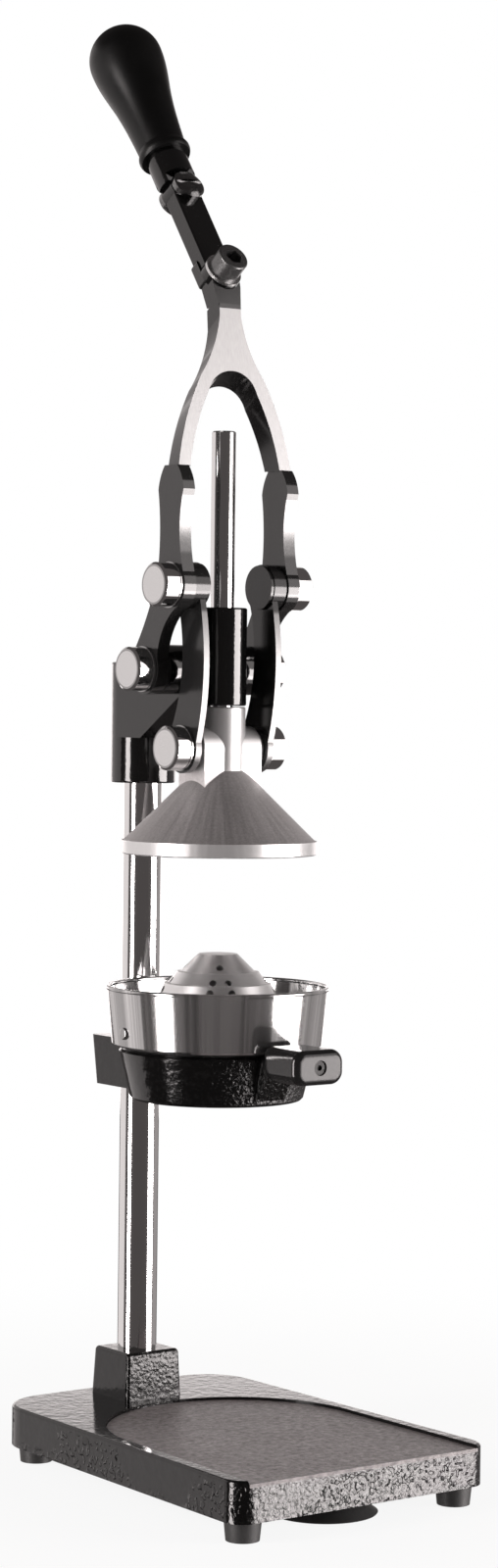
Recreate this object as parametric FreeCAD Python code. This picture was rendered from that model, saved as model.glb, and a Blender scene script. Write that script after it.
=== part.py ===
import FreeCAD, Part
import math
import os

# Lever citrus juice press, millimetres.
# Z is up and the table is z = 0. The press axis, on which the rod, the bell,
# the cup and the strainer are centred, stands at x = 0, y = 0. The front is -Y.

# Table level and feet
FOOT_HEIGHT = 10.0
FOOT_TOP_RADIUS = 9.0
FOOT_BOTTOM_RADIUS = 8.0
FOOT_RECESS_RADIUS = 4.6
FOOT_RECESS_DEPTH = 4.5
FOOT_FRONT_INSET = 12.0
FOOT_REAR_INSET_X = 17.0
FOOT_REAR_INSET_Y = 14.5
FOOT_SCREW_RADIUS = 2.0
FOOT_SCREW_HEAD_RADIUS = 3.9
FOOT_SCREW_HEAD_HEIGHT = 2.6
FOOT_SCREW_BITE = 6.0

# Base casting
BASE_HEIGHT = 20.0
BASE_FRONT_HALF = 75.6
BASE_REAR_HALF = 70.6
BASE_FRONT_REACH = 123.4
BASE_REAR_REACH = 91.8
BASE_FRONT_CORNER = 10.0
BASE_REAR_CORNER = 26.0
BASE_EDGE_ROUNDING = 1.6
BASE_WALL = 7.0
BASE_CAVITY_HEIGHT = 9.5
BASE_RIB = 5.0
RIM_WIDTH = 7.1
MAT_THICKNESS = 1.7
MAT_POCKET_DEPTH = 3.2
MAT_CLEARANCE = 0.3
MAT_ARCH_RADIUS = 66.5
MAT_ARCH_CENTRE_Y = -24.0

# Column and its socket in the base
COLUMN_RADIUS = 10.0
COLUMN_TOP = 400.0
COLUMN_CHAMFER = 1.0
COLUMN_FIT = 0.05
SOCKET_HEIGHT = 24.0
SOCKET_HALF_X = 16.0
SOCKET_HALF_Y = 15.2
SOCKET_DRAFT = 1.2
SOCKET_FOOT_FILLET = 2.0
SOCKET_DEPTH = 30.0
COLUMN_BOLT_RADIUS = 4.0
COLUMN_BOLT_HEAD_RADIUS = 7.2
COLUMN_BOLT_HEAD_HEIGHT = 5.3
COLUMN_BOLT_BITE = 22.0
COLUMN_WASHER_RADIUS = 8.0
COLUMN_WASHER_THICKNESS = 1.6
THREAD_CLEARANCE = 0.05

# Suction cup under the front of the base
SUCTION_RADIUS = 26.5
SUCTION_CENTRE_Y = -90.0
SUCTION_GAP_TO_TABLE = 0.6
SUCTION_LIP = 1.6
SUCTION_NECK_RADIUS = 8.0
SUCTION_SHOULDER_OUT = 5.0
SUCTION_SHOULDER_RISE = 9.0
SUCTION_STEM_RADIUS = 3.5
SUCTION_STEM_BITE = 4.0

# Head bracket
SLEEVE_RADIUS = 16.5
SLEEVE_BOTTOM = 344.0
SLEEVE_TOP = 405.3
WEB_FRONT_Y = 3.0
WEB_BOTTOM = 388.1
WEB_KNEE_Y = 13.1
WEB_HEEL_Y = 46.2
WEB_HEEL_Z = 367.1
BRACKET_ROUNDING = 1.0
BARREL_RADIUS = 12.5
BARREL_BOTTOM = 384.0
BARREL_TOP = 432.4
UPPER_SCREW_Z = 385.5
LOWER_SCREW_Z = 361.5
CLAMP_SCREW_RADIUS = 3.0
CLAMP_SCREW_HEAD_RADIUS = 4.7
SPOT_FACE_DEPTH = 8.0
CLAMP_SCREW_HEAD_HEIGHT = 5.2
SET_SCREW_RADIUS = 2.5
SET_SCREW_PROUD = 6.0
SCREW_TIP_GAP = 0.1

# Linkage pivots, seen from the side as (y, z)
FULCRUM_Y = 16.8
FULCRUM_Z = 401.6
CRANK_Y = -5.0
CRANK_RISE = 41.2
CRANK_Z = FULCRUM_Z + CRANK_RISE
PRESS_PIVOT_Z = 363.0
PIVOT_BOSS_RADIUS = 12.3
PIN_RADIUS = 6.0
PIN_FIT = 0.06
PIN_HEAD_RADIUS = 10.9
PIN_HEAD_LENGTH = 10.0
PIN_HEAD_CHAMFER = 1.1
PIN_FLANGE_RADIUS = 11.3
PIN_FLANGE_LENGTH = 1.2
SIDE_GAP = 0.3
PIN_BITE = 8.0

# Lever fork
ARM_INNER = 28.2
ARM_OUTER = 35.1
EYE_RADIUS = 12.4
ARM_WAIST_FRONT = 12.5
ARM_WAIST_REAR = 4.2
ARM_WAIST_Z = 465.0
LOBE_FRONT = 15.3
LOBE_REAR = 5.9
LOBE_Z = 489.4
LOBE_ROUND = 5.4
FORK_FACE_LOW_Y = -9.8
FORK_FACE_LOW_Z = 501.2
FORK_FACE_TOP_Y = -3.9
FORK_DEPTH = 10.6
NECK_HALF = 6.5
FLARE_Z = 564.0
FLARE_HALF = 10.6
SPREAD_Z = 548.0
SPREAD_HALF = 19.2
SHOULDER_Z = 524.0
SHOULDER_HALF = 29.0
STRAIGHT_Z = 490.0
ARCH_TOP_Z = 551.5
ARCH_SIDE_Z = 540.0
ARCH_SIDE_HALF = 14.8
ARCH_MID_Z = 520.0
ARCH_MID_HALF = 22.9
CRANK_WAIST_Y = 8.2
CRANK_WAIST_DROP = 25.8
CRANK_HEEL_Y = 20.7
CRANK_HEEL_DROP = 17.0

# Upper lever bar, which leans back from the fork
LEVER_LEAN = 35.5
COLLAR_Y = 49.0
COLLAR_Z = 654.7
BAR_HALF_WIDTH = 8.25
BAR_THICKNESS = 9.6
BAR_CORNER = 1.0
BAR_EYE_RADIUS = 9.6
BAR_IN_GRIP = 55.0
BAR_TANG_RADIUS = 4.0
BAR_NECK_RADIUS = 10.3
BAR_NECK_END = 13.5
BAR_NECK_TO_HEAD = 0.4
TAB_END = 62.3
TAB_FOOT = 76.0
TAB_HALF_WIDTH = 9.2
TAB_BACK = 6.5
TAB_CORNER = 1.4
LAP_GAP = 0.3
CLAMP_AT = 72.5
NECK_TOP_AT = 78.0
NECK_BELOW_BAR = 11.2
CAP_SCREW_RADIUS = 5.0
CAP_HEAD_RADIUS = 8.0
CAP_HEAD_HEIGHT = 10.0
CAP_SOCKET_ACROSS = 8.0
CAP_SOCKET_DEPTH = 5.5
WASHER_RADIUS = 9.6
WASHER_THICKNESS = 1.6
STOP_SCREW_AT = 17.8
STOP_BOSS_RADIUS = 8.9
STOP_SCREW_RADIUS = 4.0
STOP_HEAD_RADIUS = 8.5
STOP_HEAD_RIM = 3.3
STOP_HEAD_DOME = 2.4
STOP_SLOT_WIDTH = 1.8
STOP_SLOT_DEPTH = 1.9
STOP_NUT_RADIUS = 8.6
STOP_NUT_HEIGHT = 3.9
STOP_NUT_CHAMFER = 0.8

# Grip, turned, measured from its collar upward
GRIP_START = 5.9
GRIP_LEAN = 34.1
GRIP_COLLAR_RADIUS = 13.5
GRIP_COLLAR_EDGE = 12.7
GRIP_NECK_RADIUS = 12.2
GRIP_BELLY_RADIUS = 19.0
GRIP_COLLAR_HEIGHT = 4.8
GRIP_NECK_AT = 6.4
GRIP_MID_AT = 38.1
GRIP_MID_RADIUS = 15.3
GRIP_BELLY_AT = 65.0
GRIP_FIT = 0.1
GRIP_TO_NECK = 0.3

# Links between the fork and the bell
LINK_INNER = 20.3
LINK_THICKNESS = 3.3
LINK_UPPER_RADIUS = 11.5
LINK_LOWER_RADIUS = 12.4
LINK_BOSS_RADIUS = 11.0
LINK_BOSS_INWARD = 1.8
LINK_BULGE_FRONT = 17.9
LINK_BULGE_REAR = 0.4
LINK_BULGE_Z = 403.5

# Guide rod and bell
ROD_RADIUS = 6.0
ROD_TOP = 519.5
ROD_BITE = 20.0
ROD_FIT = 0.06
NECK_RADIUS = 12.2
NECK_TO_BARREL = 0.5
BELL_RADIUS = 48.4
BELL_BOTTOM = 310.5
BELL_RIM_HEIGHT = 6.8
BELL_RIM_STEP = 0.8
BELL_WALL = 4.0
BELL_TOP = 352.0
BOSS_BLOCK_HALF_X = 17.3
BOSS_BLOCK_RADIUS = 10.9
BOSS_COLLAR_RADIUS = 9.0

# Cup holder
HOLDER_TOP = 214.1
HOLDER_BOTTOM = 189.2
HOLDER_TOP_RADIUS = 48.7
HOLDER_BOTTOM_RADIUS = 43.2
HOLDER_WALL = 6.0
HOLDER_EDGE = 1.2
HOLDER_BLOCK_HALF_X = 16.0
HOLDER_BLOCK_REAR_TOP = 20.8
HOLDER_BLOCK_REAR_BOTTOM = 16.6
HOLDER_BLOCK_CORNER = 1.8
HOLDER_SLIDE_FIT = 0.08
HANDLE_HALF_WIDTH = 15.0
HANDLE_REACH = 84.2
HANDLE_LENGTH = 29.0
HANDLE_HEIGHT = 17.0
HANDLE_DROP = 2.1
HANDLE_END_ROUNDING = 6.5
HANDLE_FACE_ROUNDING = 3.8
HANDLE_BACK_ROUNDING = 3.0
HANDLE_HEEL_ROUNDING = 8.0
HANDLE_NECK_HALF = 8.0
HANDLE_NECK_HALF_HEIGHT = 5.5
HANDLE_TO_CUP = 1.8
HANDLE_SOCKET_DEPTH = 8.0
HANDLE_SOCKET_FIT = 0.15
HANDLE_SCREW_BITE = 9.0
HANDLE_SCREW_RADIUS = 2.5
HANDLE_SCREW_RECESS_RADIUS = 3.7
HANDLE_SCREW_RECESS_DEPTH = 3.0

# Juice cup
CUP_RIM_RADIUS = 55.6
CUP_TO_COLUMN = 0.8
CUP_FLOOR_RADIUS = 52.3
CUP_DEPTH = 29.7
CUP_FLOOR_RISE = 1.7
CUP_WALL = 1.8
CUP_LIP_RADIUS = 1.2
CUP_THROAT_RADIUS = 41.0
CUP_SPOUT_RADIUS = 10.0
CUP_SPOUT_BOTTOM = 191.5
CUP_SPOUT_TOP = 199.0
CUP_FUNNEL_IN = 4.0
CUP_FUNNEL_DROP = 6.5
CUP_SIDE_CLEARANCE = 0.5
CUP_TURN = -4.5
RIVET_RADIUS = 1.6
RIVET_HEAD_RADIUS = 3.0
RIVET_HEAD_HEIGHT = 1.2
RIVET_Z = 223.4

# Strainer cone, heights counted from the cup's floor
STRAINER_TOP_RADIUS = 10.6
STRAINER_HEIGHT = 43.4
STRAINER_UPPER_STEP_RADIUS = 18.4
STRAINER_UPPER_STEP = 34.9
STRAINER_LOWER_STEP_RADIUS = 24.6
STRAINER_LOWER_STEP = 29.2
STRAINER_LEDGE = 2.0
STRAINER_WALL = 1.4
STRAINER_FOOT_RADIUS = 39.5
STRAINER_EDGE_GAP = 1.0
STRAINER_HOLE_RADIUS = 1.75
STRAINER_GROUPS = 4
STRAINER_TURN = -122.6
STRAINER_TOP_HOLE = 37.4
STRAINER_MIDDLE_HOLES = 30.6
STRAINER_LOW_HOLES = 25.9
STRAINER_PAIR_SPREAD = 9.3

# Derived places
BASE_BOTTOM = FOOT_HEIGHT
BASE_TOP = BASE_BOTTOM + BASE_HEIGHT
MAT_FLOOR = BASE_TOP - MAT_POCKET_DEPTH
COLUMN_SEAT = BASE_TOP + SOCKET_HEIGHT - SOCKET_DEPTH
CUP_FLOOR_Z = HOLDER_TOP + CUP_FLOOR_RISE
CUP_RIM_Z = CUP_FLOOR_Z + CUP_DEPTH
CUP_OUTSIDE = CUP_RIM_RADIUS - CUP_WALL / 2 + CUP_LIP_RADIUS
COLUMN_OFFSET = CUP_OUTSIDE + CUP_TO_COLUMN + COLUMN_RADIUS
STRAINER_FLOOR = CUP_FLOOR_Z + CUP_WALL
FORK_FACE_TOP_Z = (COLLAR_Z - NECK_TOP_AT * math.cos(math.radians(LEVER_LEAN))
                   - NECK_BELOW_BAR)
UP = FreeCAD.Vector(0, 0, 1)
RIGHT = FreeCAD.Vector(1, 0, 0)
BACK = FreeCAD.Vector(0, 1, 0)


def point(x, y, z):
    return FreeCAD.Vector(x, y, z)


def bar(radius, start, end):
    """Round bar between two points."""
    way = end.sub(start)
    return Part.makeCylinder(radius, way.Length, start, way)


def line(a, b):
    return Part.makeLine(a, b)


def bow(a, b, c):
    """Arc from a through b to c."""
    return Part.Arc(a, b, c).toShape()


def filled(edges):
    """Flat face inside a closed chain of edges."""
    return Part.Face(Part.Wire(edges))


def polygon(points):
    return Part.Face(Part.makePolygon(points + [points[0]]))


def turned(profile, y=0.0):
    """Solid of revolution about a vertical axis from (radius, z) corners."""
    corners = [point(radius, y, z) for radius, z in profile]
    return polygon(corners).revolve(point(0, y, 0), UP, 360)


def side(y, z):
    """Point of a side view, in the middle plane."""
    return point(0, y, z)


def plate(face, low, high):
    """Side view face made into a plate from x = low to x = high."""
    face = face.copy()
    face.translate(point(low, 0, 0))
    return face.extrude(point(high - low, 0, 0))


def mirrored(shape):
    return shape.mirror(point(0, 0, 0), RIGHT)


def lever_point(down, back, x=0.0):
    """Point beside the upper lever's centre line, measured from the collar."""
    lean = math.radians(LEVER_LEAN)
    y = COLLAR_Y - down * math.sin(lean) + back * math.cos(lean)
    z = COLLAR_Z - down * math.cos(lean) - back * math.sin(lean)
    return point(x, y, z)


def lever_bar_way():
    """Direction up the lever bar."""
    return lever_point(0, 0).sub(lever_point(1, 0))


def hexagon(across, depth, centre, way):
    """Six-sided prism, with the given distance across its flats."""
    corner = across / math.sqrt(3)
    sides = 6
    points = []
    for index in range(sides):
        turn = 2 * math.pi * index / sides
        points.append(point(corner * math.cos(turn), corner * math.sin(turn), 0))
    prism = polygon(points).extrude(point(0, 0, depth))
    prism.Placement = FreeCAD.Placement(centre, FreeCAD.Rotation(UP, way))
    return prism


# Base


def base_half_width(y):
    """Half width of the base casting at a place along its depth."""
    share = (y + BASE_FRONT_REACH) / (BASE_FRONT_REACH + BASE_REAR_REACH)
    return BASE_FRONT_HALF + (BASE_REAR_HALF - BASE_FRONT_HALF) * share


def base_outline(inset, height, shift):
    """Tapered block with rounded upright corners, shrunk by inset on every side."""
    front = -BASE_FRONT_REACH + inset
    rear = BASE_REAR_REACH - inset
    front_half = base_half_width(front) - inset
    rear_half = base_half_width(rear) - inset
    corners = [
        point(-front_half, front, shift),
        point(front_half, front, shift),
        point(rear_half, rear, shift),
        point(-rear_half, rear, shift),
    ]
    block = polygon(corners).extrude(point(0, 0, height))
    front_edges = [edge for edge in upright_edges(block) if edge.CenterOfMass.y < 0]
    rear_edges = [edge for edge in upright_edges(block) if edge.CenterOfMass.y > 0]
    block = block.makeFillet(max(BASE_REAR_CORNER - inset, 1.0), rear_edges)
    front_edges = [edge for edge in sharp_uprights(block) if edge.CenterOfMass.y < 0]
    return block.makeFillet(max(BASE_FRONT_CORNER - inset, 1.0), front_edges)


def upright_edges(block):
    found = []
    for edge in block.Edges:
        if abs(edge.tangentAt(edge.FirstParameter).z) > 0.99:
            found.append(edge)
    return found


def sharp_uprights(block):
    """Upright edges at the front, where the corners are still square."""
    edges = upright_edges(block)
    front = min(edge.CenterOfMass.y for edge in edges)
    return [edge for edge in edges if edge.CenterOfMass.y < front + 0.01]


def mat_outline(inset, z, height):
    """Arched sheet that is open to the front, shrunk by inset."""
    front = -BASE_FRONT_REACH
    front_half = BASE_FRONT_HALF - RIM_WIDTH - inset
    radius = MAT_ARCH_RADIUS - inset
    centre = MAT_ARCH_CENTRE_Y
    left = point(-radius, centre, z)
    right = point(radius, centre, z)
    top = point(0, centre + radius, z)
    front_left = point(-front_half, front, z)
    front_right = point(front_half, front, z)
    edges = [line(front_left, front_right), line(front_right, right)]
    edges += [bow(right, top, left), line(left, front_left)]
    return filled(edges).extrude(point(0, 0, height))


def foot_centres():
    """Places of the four feet, by name."""
    front = -BASE_FRONT_REACH + FOOT_FRONT_INSET
    rear = BASE_REAR_REACH - FOOT_REAR_INSET_Y
    front_half = base_half_width(front) - FOOT_FRONT_INSET
    rear_half = base_half_width(rear) - FOOT_REAR_INSET_X
    return {
        "foot_front_left": (-front_half, front),
        "foot_front_right": (front_half, front),
        "foot_rear_left": (-rear_half, rear),
        "foot_rear_right": (rear_half, rear),
    }


def socket_block():
    """Drafted block that carries the column, on top of the base."""
    low_x = SOCKET_HALF_X + SOCKET_DRAFT
    low_y = SOCKET_HALF_Y + SOCKET_DRAFT
    low = socket_wire(low_x, low_y, MAT_FLOOR)
    high = socket_wire(SOCKET_HALF_X, SOCKET_HALF_Y, BASE_TOP + SOCKET_HEIGHT)
    block = Part.makeLoft([low, high], True, True)
    return block.makeFillet(SOCKET_FOOT_FILLET, block.Edges)


def socket_wire(half_x, half_y, z):
    y = COLUMN_OFFSET
    corners = [point(-half_x, y - half_y, z), point(half_x, y - half_y, z)]
    corners += [point(half_x, y + half_y, z), point(-half_x, y + half_y, z)]
    return Part.makePolygon(corners + [corners[0]])


def base_cavity():
    """Hollow under the base, with its ribs, foot pads and column pad left in."""
    hollow = base_outline(BASE_WALL, BASE_CAVITY_HEIGHT, BASE_BOTTOM)
    top = BASE_BOTTOM + BASE_CAVITY_HEIGHT
    for x, y in foot_centres().values():
        pad = bar(FOOT_TOP_RADIUS + 1.0, point(x, y, BASE_BOTTOM), point(x, y, top))
        hollow = hollow.cut(pad)
    pad_radius = COLUMN_WASHER_RADIUS + BASE_WALL
    centre = point(0, COLUMN_OFFSET, BASE_BOTTOM)
    hollow = hollow.cut(bar(pad_radius, centre, point(0, COLUMN_OFFSET, top)))
    spine_front = SUCTION_CENTRE_Y + SUCTION_RADIUS + BASE_RIB
    spine = Part.makeBox(BASE_RIB, BASE_REAR_REACH - spine_front, BASE_CAVITY_HEIGHT,
                         point(-BASE_RIB / 2, spine_front, BASE_BOTTOM))
    hollow = hollow.cut(spine)
    cross = Part.makeBox(2 * BASE_FRONT_HALF, BASE_RIB, BASE_CAVITY_HEIGHT,
                         point(-BASE_FRONT_HALF, spine_front, BASE_BOTTOM))
    return hollow.cut(cross)


def base_plate():
    """Cast base: rimmed pocket for the mat, column socket and hollow underside."""
    body = base_outline(0.0, BASE_HEIGHT, BASE_BOTTOM)
    top_edges = [edge for edge in body.Edges if edge.BoundBox.ZMin > BASE_TOP - 0.01]
    body = body.makeFillet(BASE_EDGE_ROUNDING, top_edges)
    body = body.cut(mat_outline(0.0, MAT_FLOOR, MAT_POCKET_DEPTH + 1.0))
    body = body.fuse(socket_block())
    body = body.cut(base_cavity())
    bore_start = point(0, COLUMN_OFFSET, COLUMN_SEAT)
    bore_end = point(0, COLUMN_OFFSET, BASE_TOP + SOCKET_HEIGHT + 1.0)
    body = body.cut(bar(COLUMN_RADIUS + COLUMN_FIT, bore_start, bore_end))
    body = body.cut(column_bolt_holes())
    for x, y in foot_centres().values():
        start = point(x, y, BASE_BOTTOM - 1.0)
        end = point(x, y, BASE_BOTTOM + FOOT_SCREW_BITE + 1.0)
        body = body.cut(bar(FOOT_SCREW_RADIUS + THREAD_CLEARANCE, start, end))
    body = body.cut(bar(SUCTION_STEM_RADIUS + THREAD_CLEARANCE,
                        point(0, SUCTION_CENTRE_Y, BASE_BOTTOM),
                        point(0, SUCTION_CENTRE_Y, suction_roof() + SUCTION_STEM_BITE)))
    return body.removeSplitter()


def suction_roof():
    """Underside of the base above the suction cup."""
    return BASE_BOTTOM + BASE_CAVITY_HEIGHT


def bolt_head_floor():
    """Level of the washer's underside below the column."""
    return COLUMN_SEAT - BASE_WALL


def column_bolt_holes():
    axis_low = point(0, COLUMN_OFFSET, BASE_BOTTOM - 1.0)
    recess = bar(COLUMN_WASHER_RADIUS + 0.5, axis_low,
                 point(0, COLUMN_OFFSET, bolt_head_floor()))
    hole = bar(COLUMN_BOLT_RADIUS + 0.4, axis_low, point(0, COLUMN_OFFSET, COLUMN_SEAT))
    return recess.fuse(hole)


def mat():
    """Rubber mat in its pocket, flush with the front of the base."""
    return mat_outline(MAT_CLEARANCE, MAT_FLOOR, MAT_THICKNESS)


def foot(x, y):
    """Tapered rubber foot with a counterbore for its screw."""
    shell = Part.makeCone(FOOT_BOTTOM_RADIUS, FOOT_TOP_RADIUS, FOOT_HEIGHT)
    recess = Part.makeCylinder(FOOT_RECESS_RADIUS, FOOT_RECESS_DEPTH)
    hole = Part.makeCylinder(FOOT_SCREW_RADIUS + THREAD_CLEARANCE, FOOT_HEIGHT)
    shell = shell.cut(recess).cut(hole)
    shell.translate(point(x, y, 0))
    return shell


def foot_screw(x, y):
    """Round-headed screw that holds a foot, head in the counterbore."""
    seat = FOOT_RECESS_DEPTH
    head = bar(FOOT_SCREW_HEAD_RADIUS, point(x, y, seat - FOOT_SCREW_HEAD_HEIGHT),
               point(x, y, seat))
    rim = [edge for edge in head.Edges if edge.BoundBox.ZMax < seat - 0.1]
    head = head.makeFillet(1.2, rim)
    shank = bar(FOOT_SCREW_RADIUS, point(x, y, seat),
                point(x, y, FOOT_HEIGHT + FOOT_SCREW_BITE))
    return head.fuse(shank)


def suction_cup():
    """Rubber cup with a thin flared lip and a stem that pulls up into the base."""
    low = SUCTION_GAP_TO_TABLE
    roof = suction_roof()
    crown = roof - SUCTION_LIP
    profile = [
        (0, low + 6.0),
        (SUCTION_NECK_RADIUS, low + 5.2),
        (SUCTION_RADIUS - 5.0, low + 2.0),
        (SUCTION_RADIUS - 0.4, low),
        (SUCTION_RADIUS, low + 0.5),
        (SUCTION_RADIUS - 4.5, low + 3.4),
        (SUCTION_NECK_RADIUS + SUCTION_SHOULDER_OUT, low + SUCTION_SHOULDER_RISE),
        (SUCTION_NECK_RADIUS, crown - 3.0),
        (SUCTION_NECK_RADIUS, roof),
        (SUCTION_STEM_RADIUS, roof),
        (SUCTION_STEM_RADIUS, roof + SUCTION_STEM_BITE - 0.3),
        (0, roof + SUCTION_STEM_BITE - 0.3),
    ]
    cup = turned(profile)
    cup.translate(point(0, SUCTION_CENTRE_Y, 0))
    return cup


# Column


def column():
    """Ground round bar, tapped at its foot."""
    low = point(0, COLUMN_OFFSET, COLUMN_SEAT)
    high = point(0, COLUMN_OFFSET, COLUMN_TOP)
    rod = bar(COLUMN_RADIUS, low, high)
    ends = [edge for edge in rod.Edges if edge.BoundBox.ZLength < 0.01]
    rod = rod.makeChamfer(COLUMN_CHAMFER, ends)
    tapped = bar(COLUMN_BOLT_RADIUS + THREAD_CLEARANCE, low,
                 point(0, COLUMN_OFFSET, COLUMN_SEAT + COLUMN_BOLT_BITE + 2.0))
    return rod.cut(tapped)


def column_washer():
    floor = bolt_head_floor()
    low = point(0, COLUMN_OFFSET, floor - COLUMN_WASHER_THICKNESS)
    ring = bar(COLUMN_WASHER_RADIUS, low, point(0, COLUMN_OFFSET, floor))
    return ring.cut(bar(COLUMN_BOLT_RADIUS + 0.3, low, point(0, COLUMN_OFFSET, floor)))


def column_bolt():
    """Hexagon bolt that draws the column down into its socket."""
    seat = bolt_head_floor() - COLUMN_WASHER_THICKNESS
    head = hexagon(COLUMN_BOLT_HEAD_RADIUS * math.sqrt(3), COLUMN_BOLT_HEAD_HEIGHT,
                   point(0, COLUMN_OFFSET, seat - COLUMN_BOLT_HEAD_HEIGHT), UP)
    shank = bar(COLUMN_BOLT_RADIUS, point(0, COLUMN_OFFSET, seat),
                point(0, COLUMN_OFFSET, COLUMN_SEAT + COLUMN_BOLT_BITE))
    return head.fuse(shank)


# Head bracket


def bracket_block():
    """Flat-sided block from the barrel to the rounded back of the sleeve."""
    y = COLUMN_OFFSET
    z = WEB_HEEL_Z
    half = SLEEVE_RADIUS
    plan = filled([
        bow(point(-half, y, z), point(0, y + half, z), point(half, y, z)),
        line(point(half, y, z), point(half, WEB_FRONT_Y, z)),
        line(point(half, WEB_FRONT_Y, z), point(-half, WEB_FRONT_Y, z)),
        line(point(-half, WEB_FRONT_Y, z), point(-half, y, z)),
    ])
    block = plan.extrude(UP * (SLEEVE_TOP - z))
    block = block.cut(plate(bracket_underside(), -half - 1, half + 1))
    top_edges = [edge for edge in block.Edges if edge.BoundBox.ZMin > SLEEVE_TOP - 0.01]
    return block.makeFillet(BRACKET_ROUNDING, top_edges)


def bracket_underside():
    """Side view of what is cut away below the block's sloping underside."""
    return polygon([
        side(WEB_FRONT_Y - 1, WEB_HEEL_Z - 1),
        side(WEB_FRONT_Y - 1, WEB_BOTTOM),
        side(WEB_KNEE_Y, WEB_BOTTOM),
        side(WEB_HEEL_Y, WEB_HEEL_Z),
        side(WEB_HEEL_Y, WEB_HEEL_Z - 1),
    ])


def head_bracket():
    """Casting with the column sleeve, the fulcrum boss and the guide barrel."""
    y = COLUMN_OFFSET
    sleeve = bar(SLEEVE_RADIUS, point(0, y, SLEEVE_BOTTOM), point(0, y, WEB_HEEL_Z))
    foot_rim = [edge for edge in sleeve.Edges if edge.BoundBox.ZMax < SLEEVE_BOTTOM + 0.01]
    body = sleeve.makeFillet(BRACKET_ROUNDING, foot_rim).fuse(bracket_block())
    boss_end = ARM_INNER - SIDE_GAP
    boss = bar(PIVOT_BOSS_RADIUS, point(-boss_end, FULCRUM_Y, FULCRUM_Z),
               point(boss_end, FULCRUM_Y, FULCRUM_Z))
    boss_rims = [edge for edge in boss.Edges if edge.BoundBox.XLength < 0.01]
    body = body.fuse(boss.makeFillet(0.8, boss_rims))
    barrel = bar(BARREL_RADIUS, point(0, 0, BARREL_BOTTOM), point(0, 0, BARREL_TOP))
    barrel_rims = [edge for edge in barrel.Edges if edge.BoundBox.ZLength < 0.01]
    body = body.fuse(barrel.makeFillet(BRACKET_ROUNDING, barrel_rims))
    body = body.cut(bar(ROD_RADIUS + ROD_FIT, point(0, 0, BARREL_BOTTOM - 1),
                        point(0, 0, BARREL_TOP + 1)))
    body = body.cut(bar(COLUMN_RADIUS + COLUMN_FIT, point(0, y, SLEEVE_BOTTOM - 1),
                        point(0, y, COLUMN_TOP + 0.2)))
    for sign in (-1, 1):
        body = body.cut(bar(PIN_RADIUS + THREAD_CLEARANCE,
                            point(sign * (boss_end - PIN_BITE - 0.2), FULCRUM_Y, FULCRUM_Z),
                            point(sign * (boss_end + 1), FULCRUM_Y, FULCRUM_Z)))
    body = body.cut(rear_hole(CLAMP_SCREW_RADIUS, UPPER_SCREW_Z))
    body = body.cut(rear_hole(SET_SCREW_RADIUS, LOWER_SCREW_Z))
    return body.removeSplitter()


def rear_hole(radius, z):
    """Tapped hole from the back into the column's bore."""
    start = point(0, COLUMN_OFFSET + COLUMN_RADIUS - 1.0, z)
    end = point(0, COLUMN_OFFSET + SLEEVE_RADIUS + 6.0, z)
    return bar(radius + THREAD_CLEARANCE, start, end)


def screw_tip_y():
    """Where a clamp screw's tip bears on the column."""
    return COLUMN_OFFSET + COLUMN_RADIUS + SCREW_TIP_GAP


def clamp_screw(z, seat_y):
    """Socket-head screw that bears on the column from the back."""
    shank = bar(CLAMP_SCREW_RADIUS, point(0, screw_tip_y(), z), point(0, seat_y, z))
    head_end = point(0, seat_y + CLAMP_SCREW_HEAD_HEIGHT, z)
    head = bar(CLAMP_SCREW_HEAD_RADIUS, point(0, seat_y, z), head_end)
    rim = [edge for edge in head.Edges if edge.BoundBox.YMin > head_end.y - 0.01]
    head = head.makeChamfer(0.6, rim)
    key = hexagon(CLAMP_SCREW_RADIUS * 1.6, 3.0, head_end, point(0, -1, 0))
    return head.cut(key).fuse(shank)


def set_screw():
    """Headless slotted screw, below the clamp screw."""
    end_y = COLUMN_OFFSET + SLEEVE_RADIUS + SET_SCREW_PROUD
    screw = bar(SET_SCREW_RADIUS, point(0, screw_tip_y(), LOWER_SCREW_Z),
                point(0, end_y, LOWER_SCREW_Z))
    slot = Part.makeBox(2 * SET_SCREW_RADIUS, 1.6, 1.0,
                        point(-SET_SCREW_RADIUS, end_y - 1.6, LOWER_SCREW_Z - 0.5))
    return screw.cut(slot)


# Pivot pins


def pin_head(inner_x, y, z):
    """Turned head with a thin flange next to the piece that it holds."""
    start = point(inner_x, y, z)
    end = point(inner_x + PIN_HEAD_LENGTH, y, z)
    head = bar(PIN_HEAD_RADIUS, start, end)
    rim = [edge for edge in head.Edges if edge.BoundBox.XMin > end.x - 0.01]
    head = head.makeChamfer(PIN_HEAD_CHAMFER, rim)
    flange = bar(PIN_FLANGE_RADIUS, start, point(inner_x + PIN_FLANGE_LENGTH, y, z))
    return head.fuse(flange)


def pivot_pin(head_x, tip_x, y, z):
    """Pin on the right side, from its tip out to its head."""
    shank = bar(PIN_RADIUS, point(tip_x, y, z), point(head_x + 1.0, y, z))
    return pin_head(head_x, y, z).fuse(shank).removeSplitter()


def fulcrum_pin():
    """Pin in the bracket's boss, on which a fork arm turns."""
    tip = ARM_INNER - SIDE_GAP - PIN_BITE
    return pivot_pin(ARM_OUTER + SIDE_GAP, tip, FULCRUM_Y, FULCRUM_Z)


def crank_pin():
    """Pin fixed in a fork arm, on which a link hangs."""
    return pivot_pin(ARM_OUTER, ARM_INNER, CRANK_Y, CRANK_Z)


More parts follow.
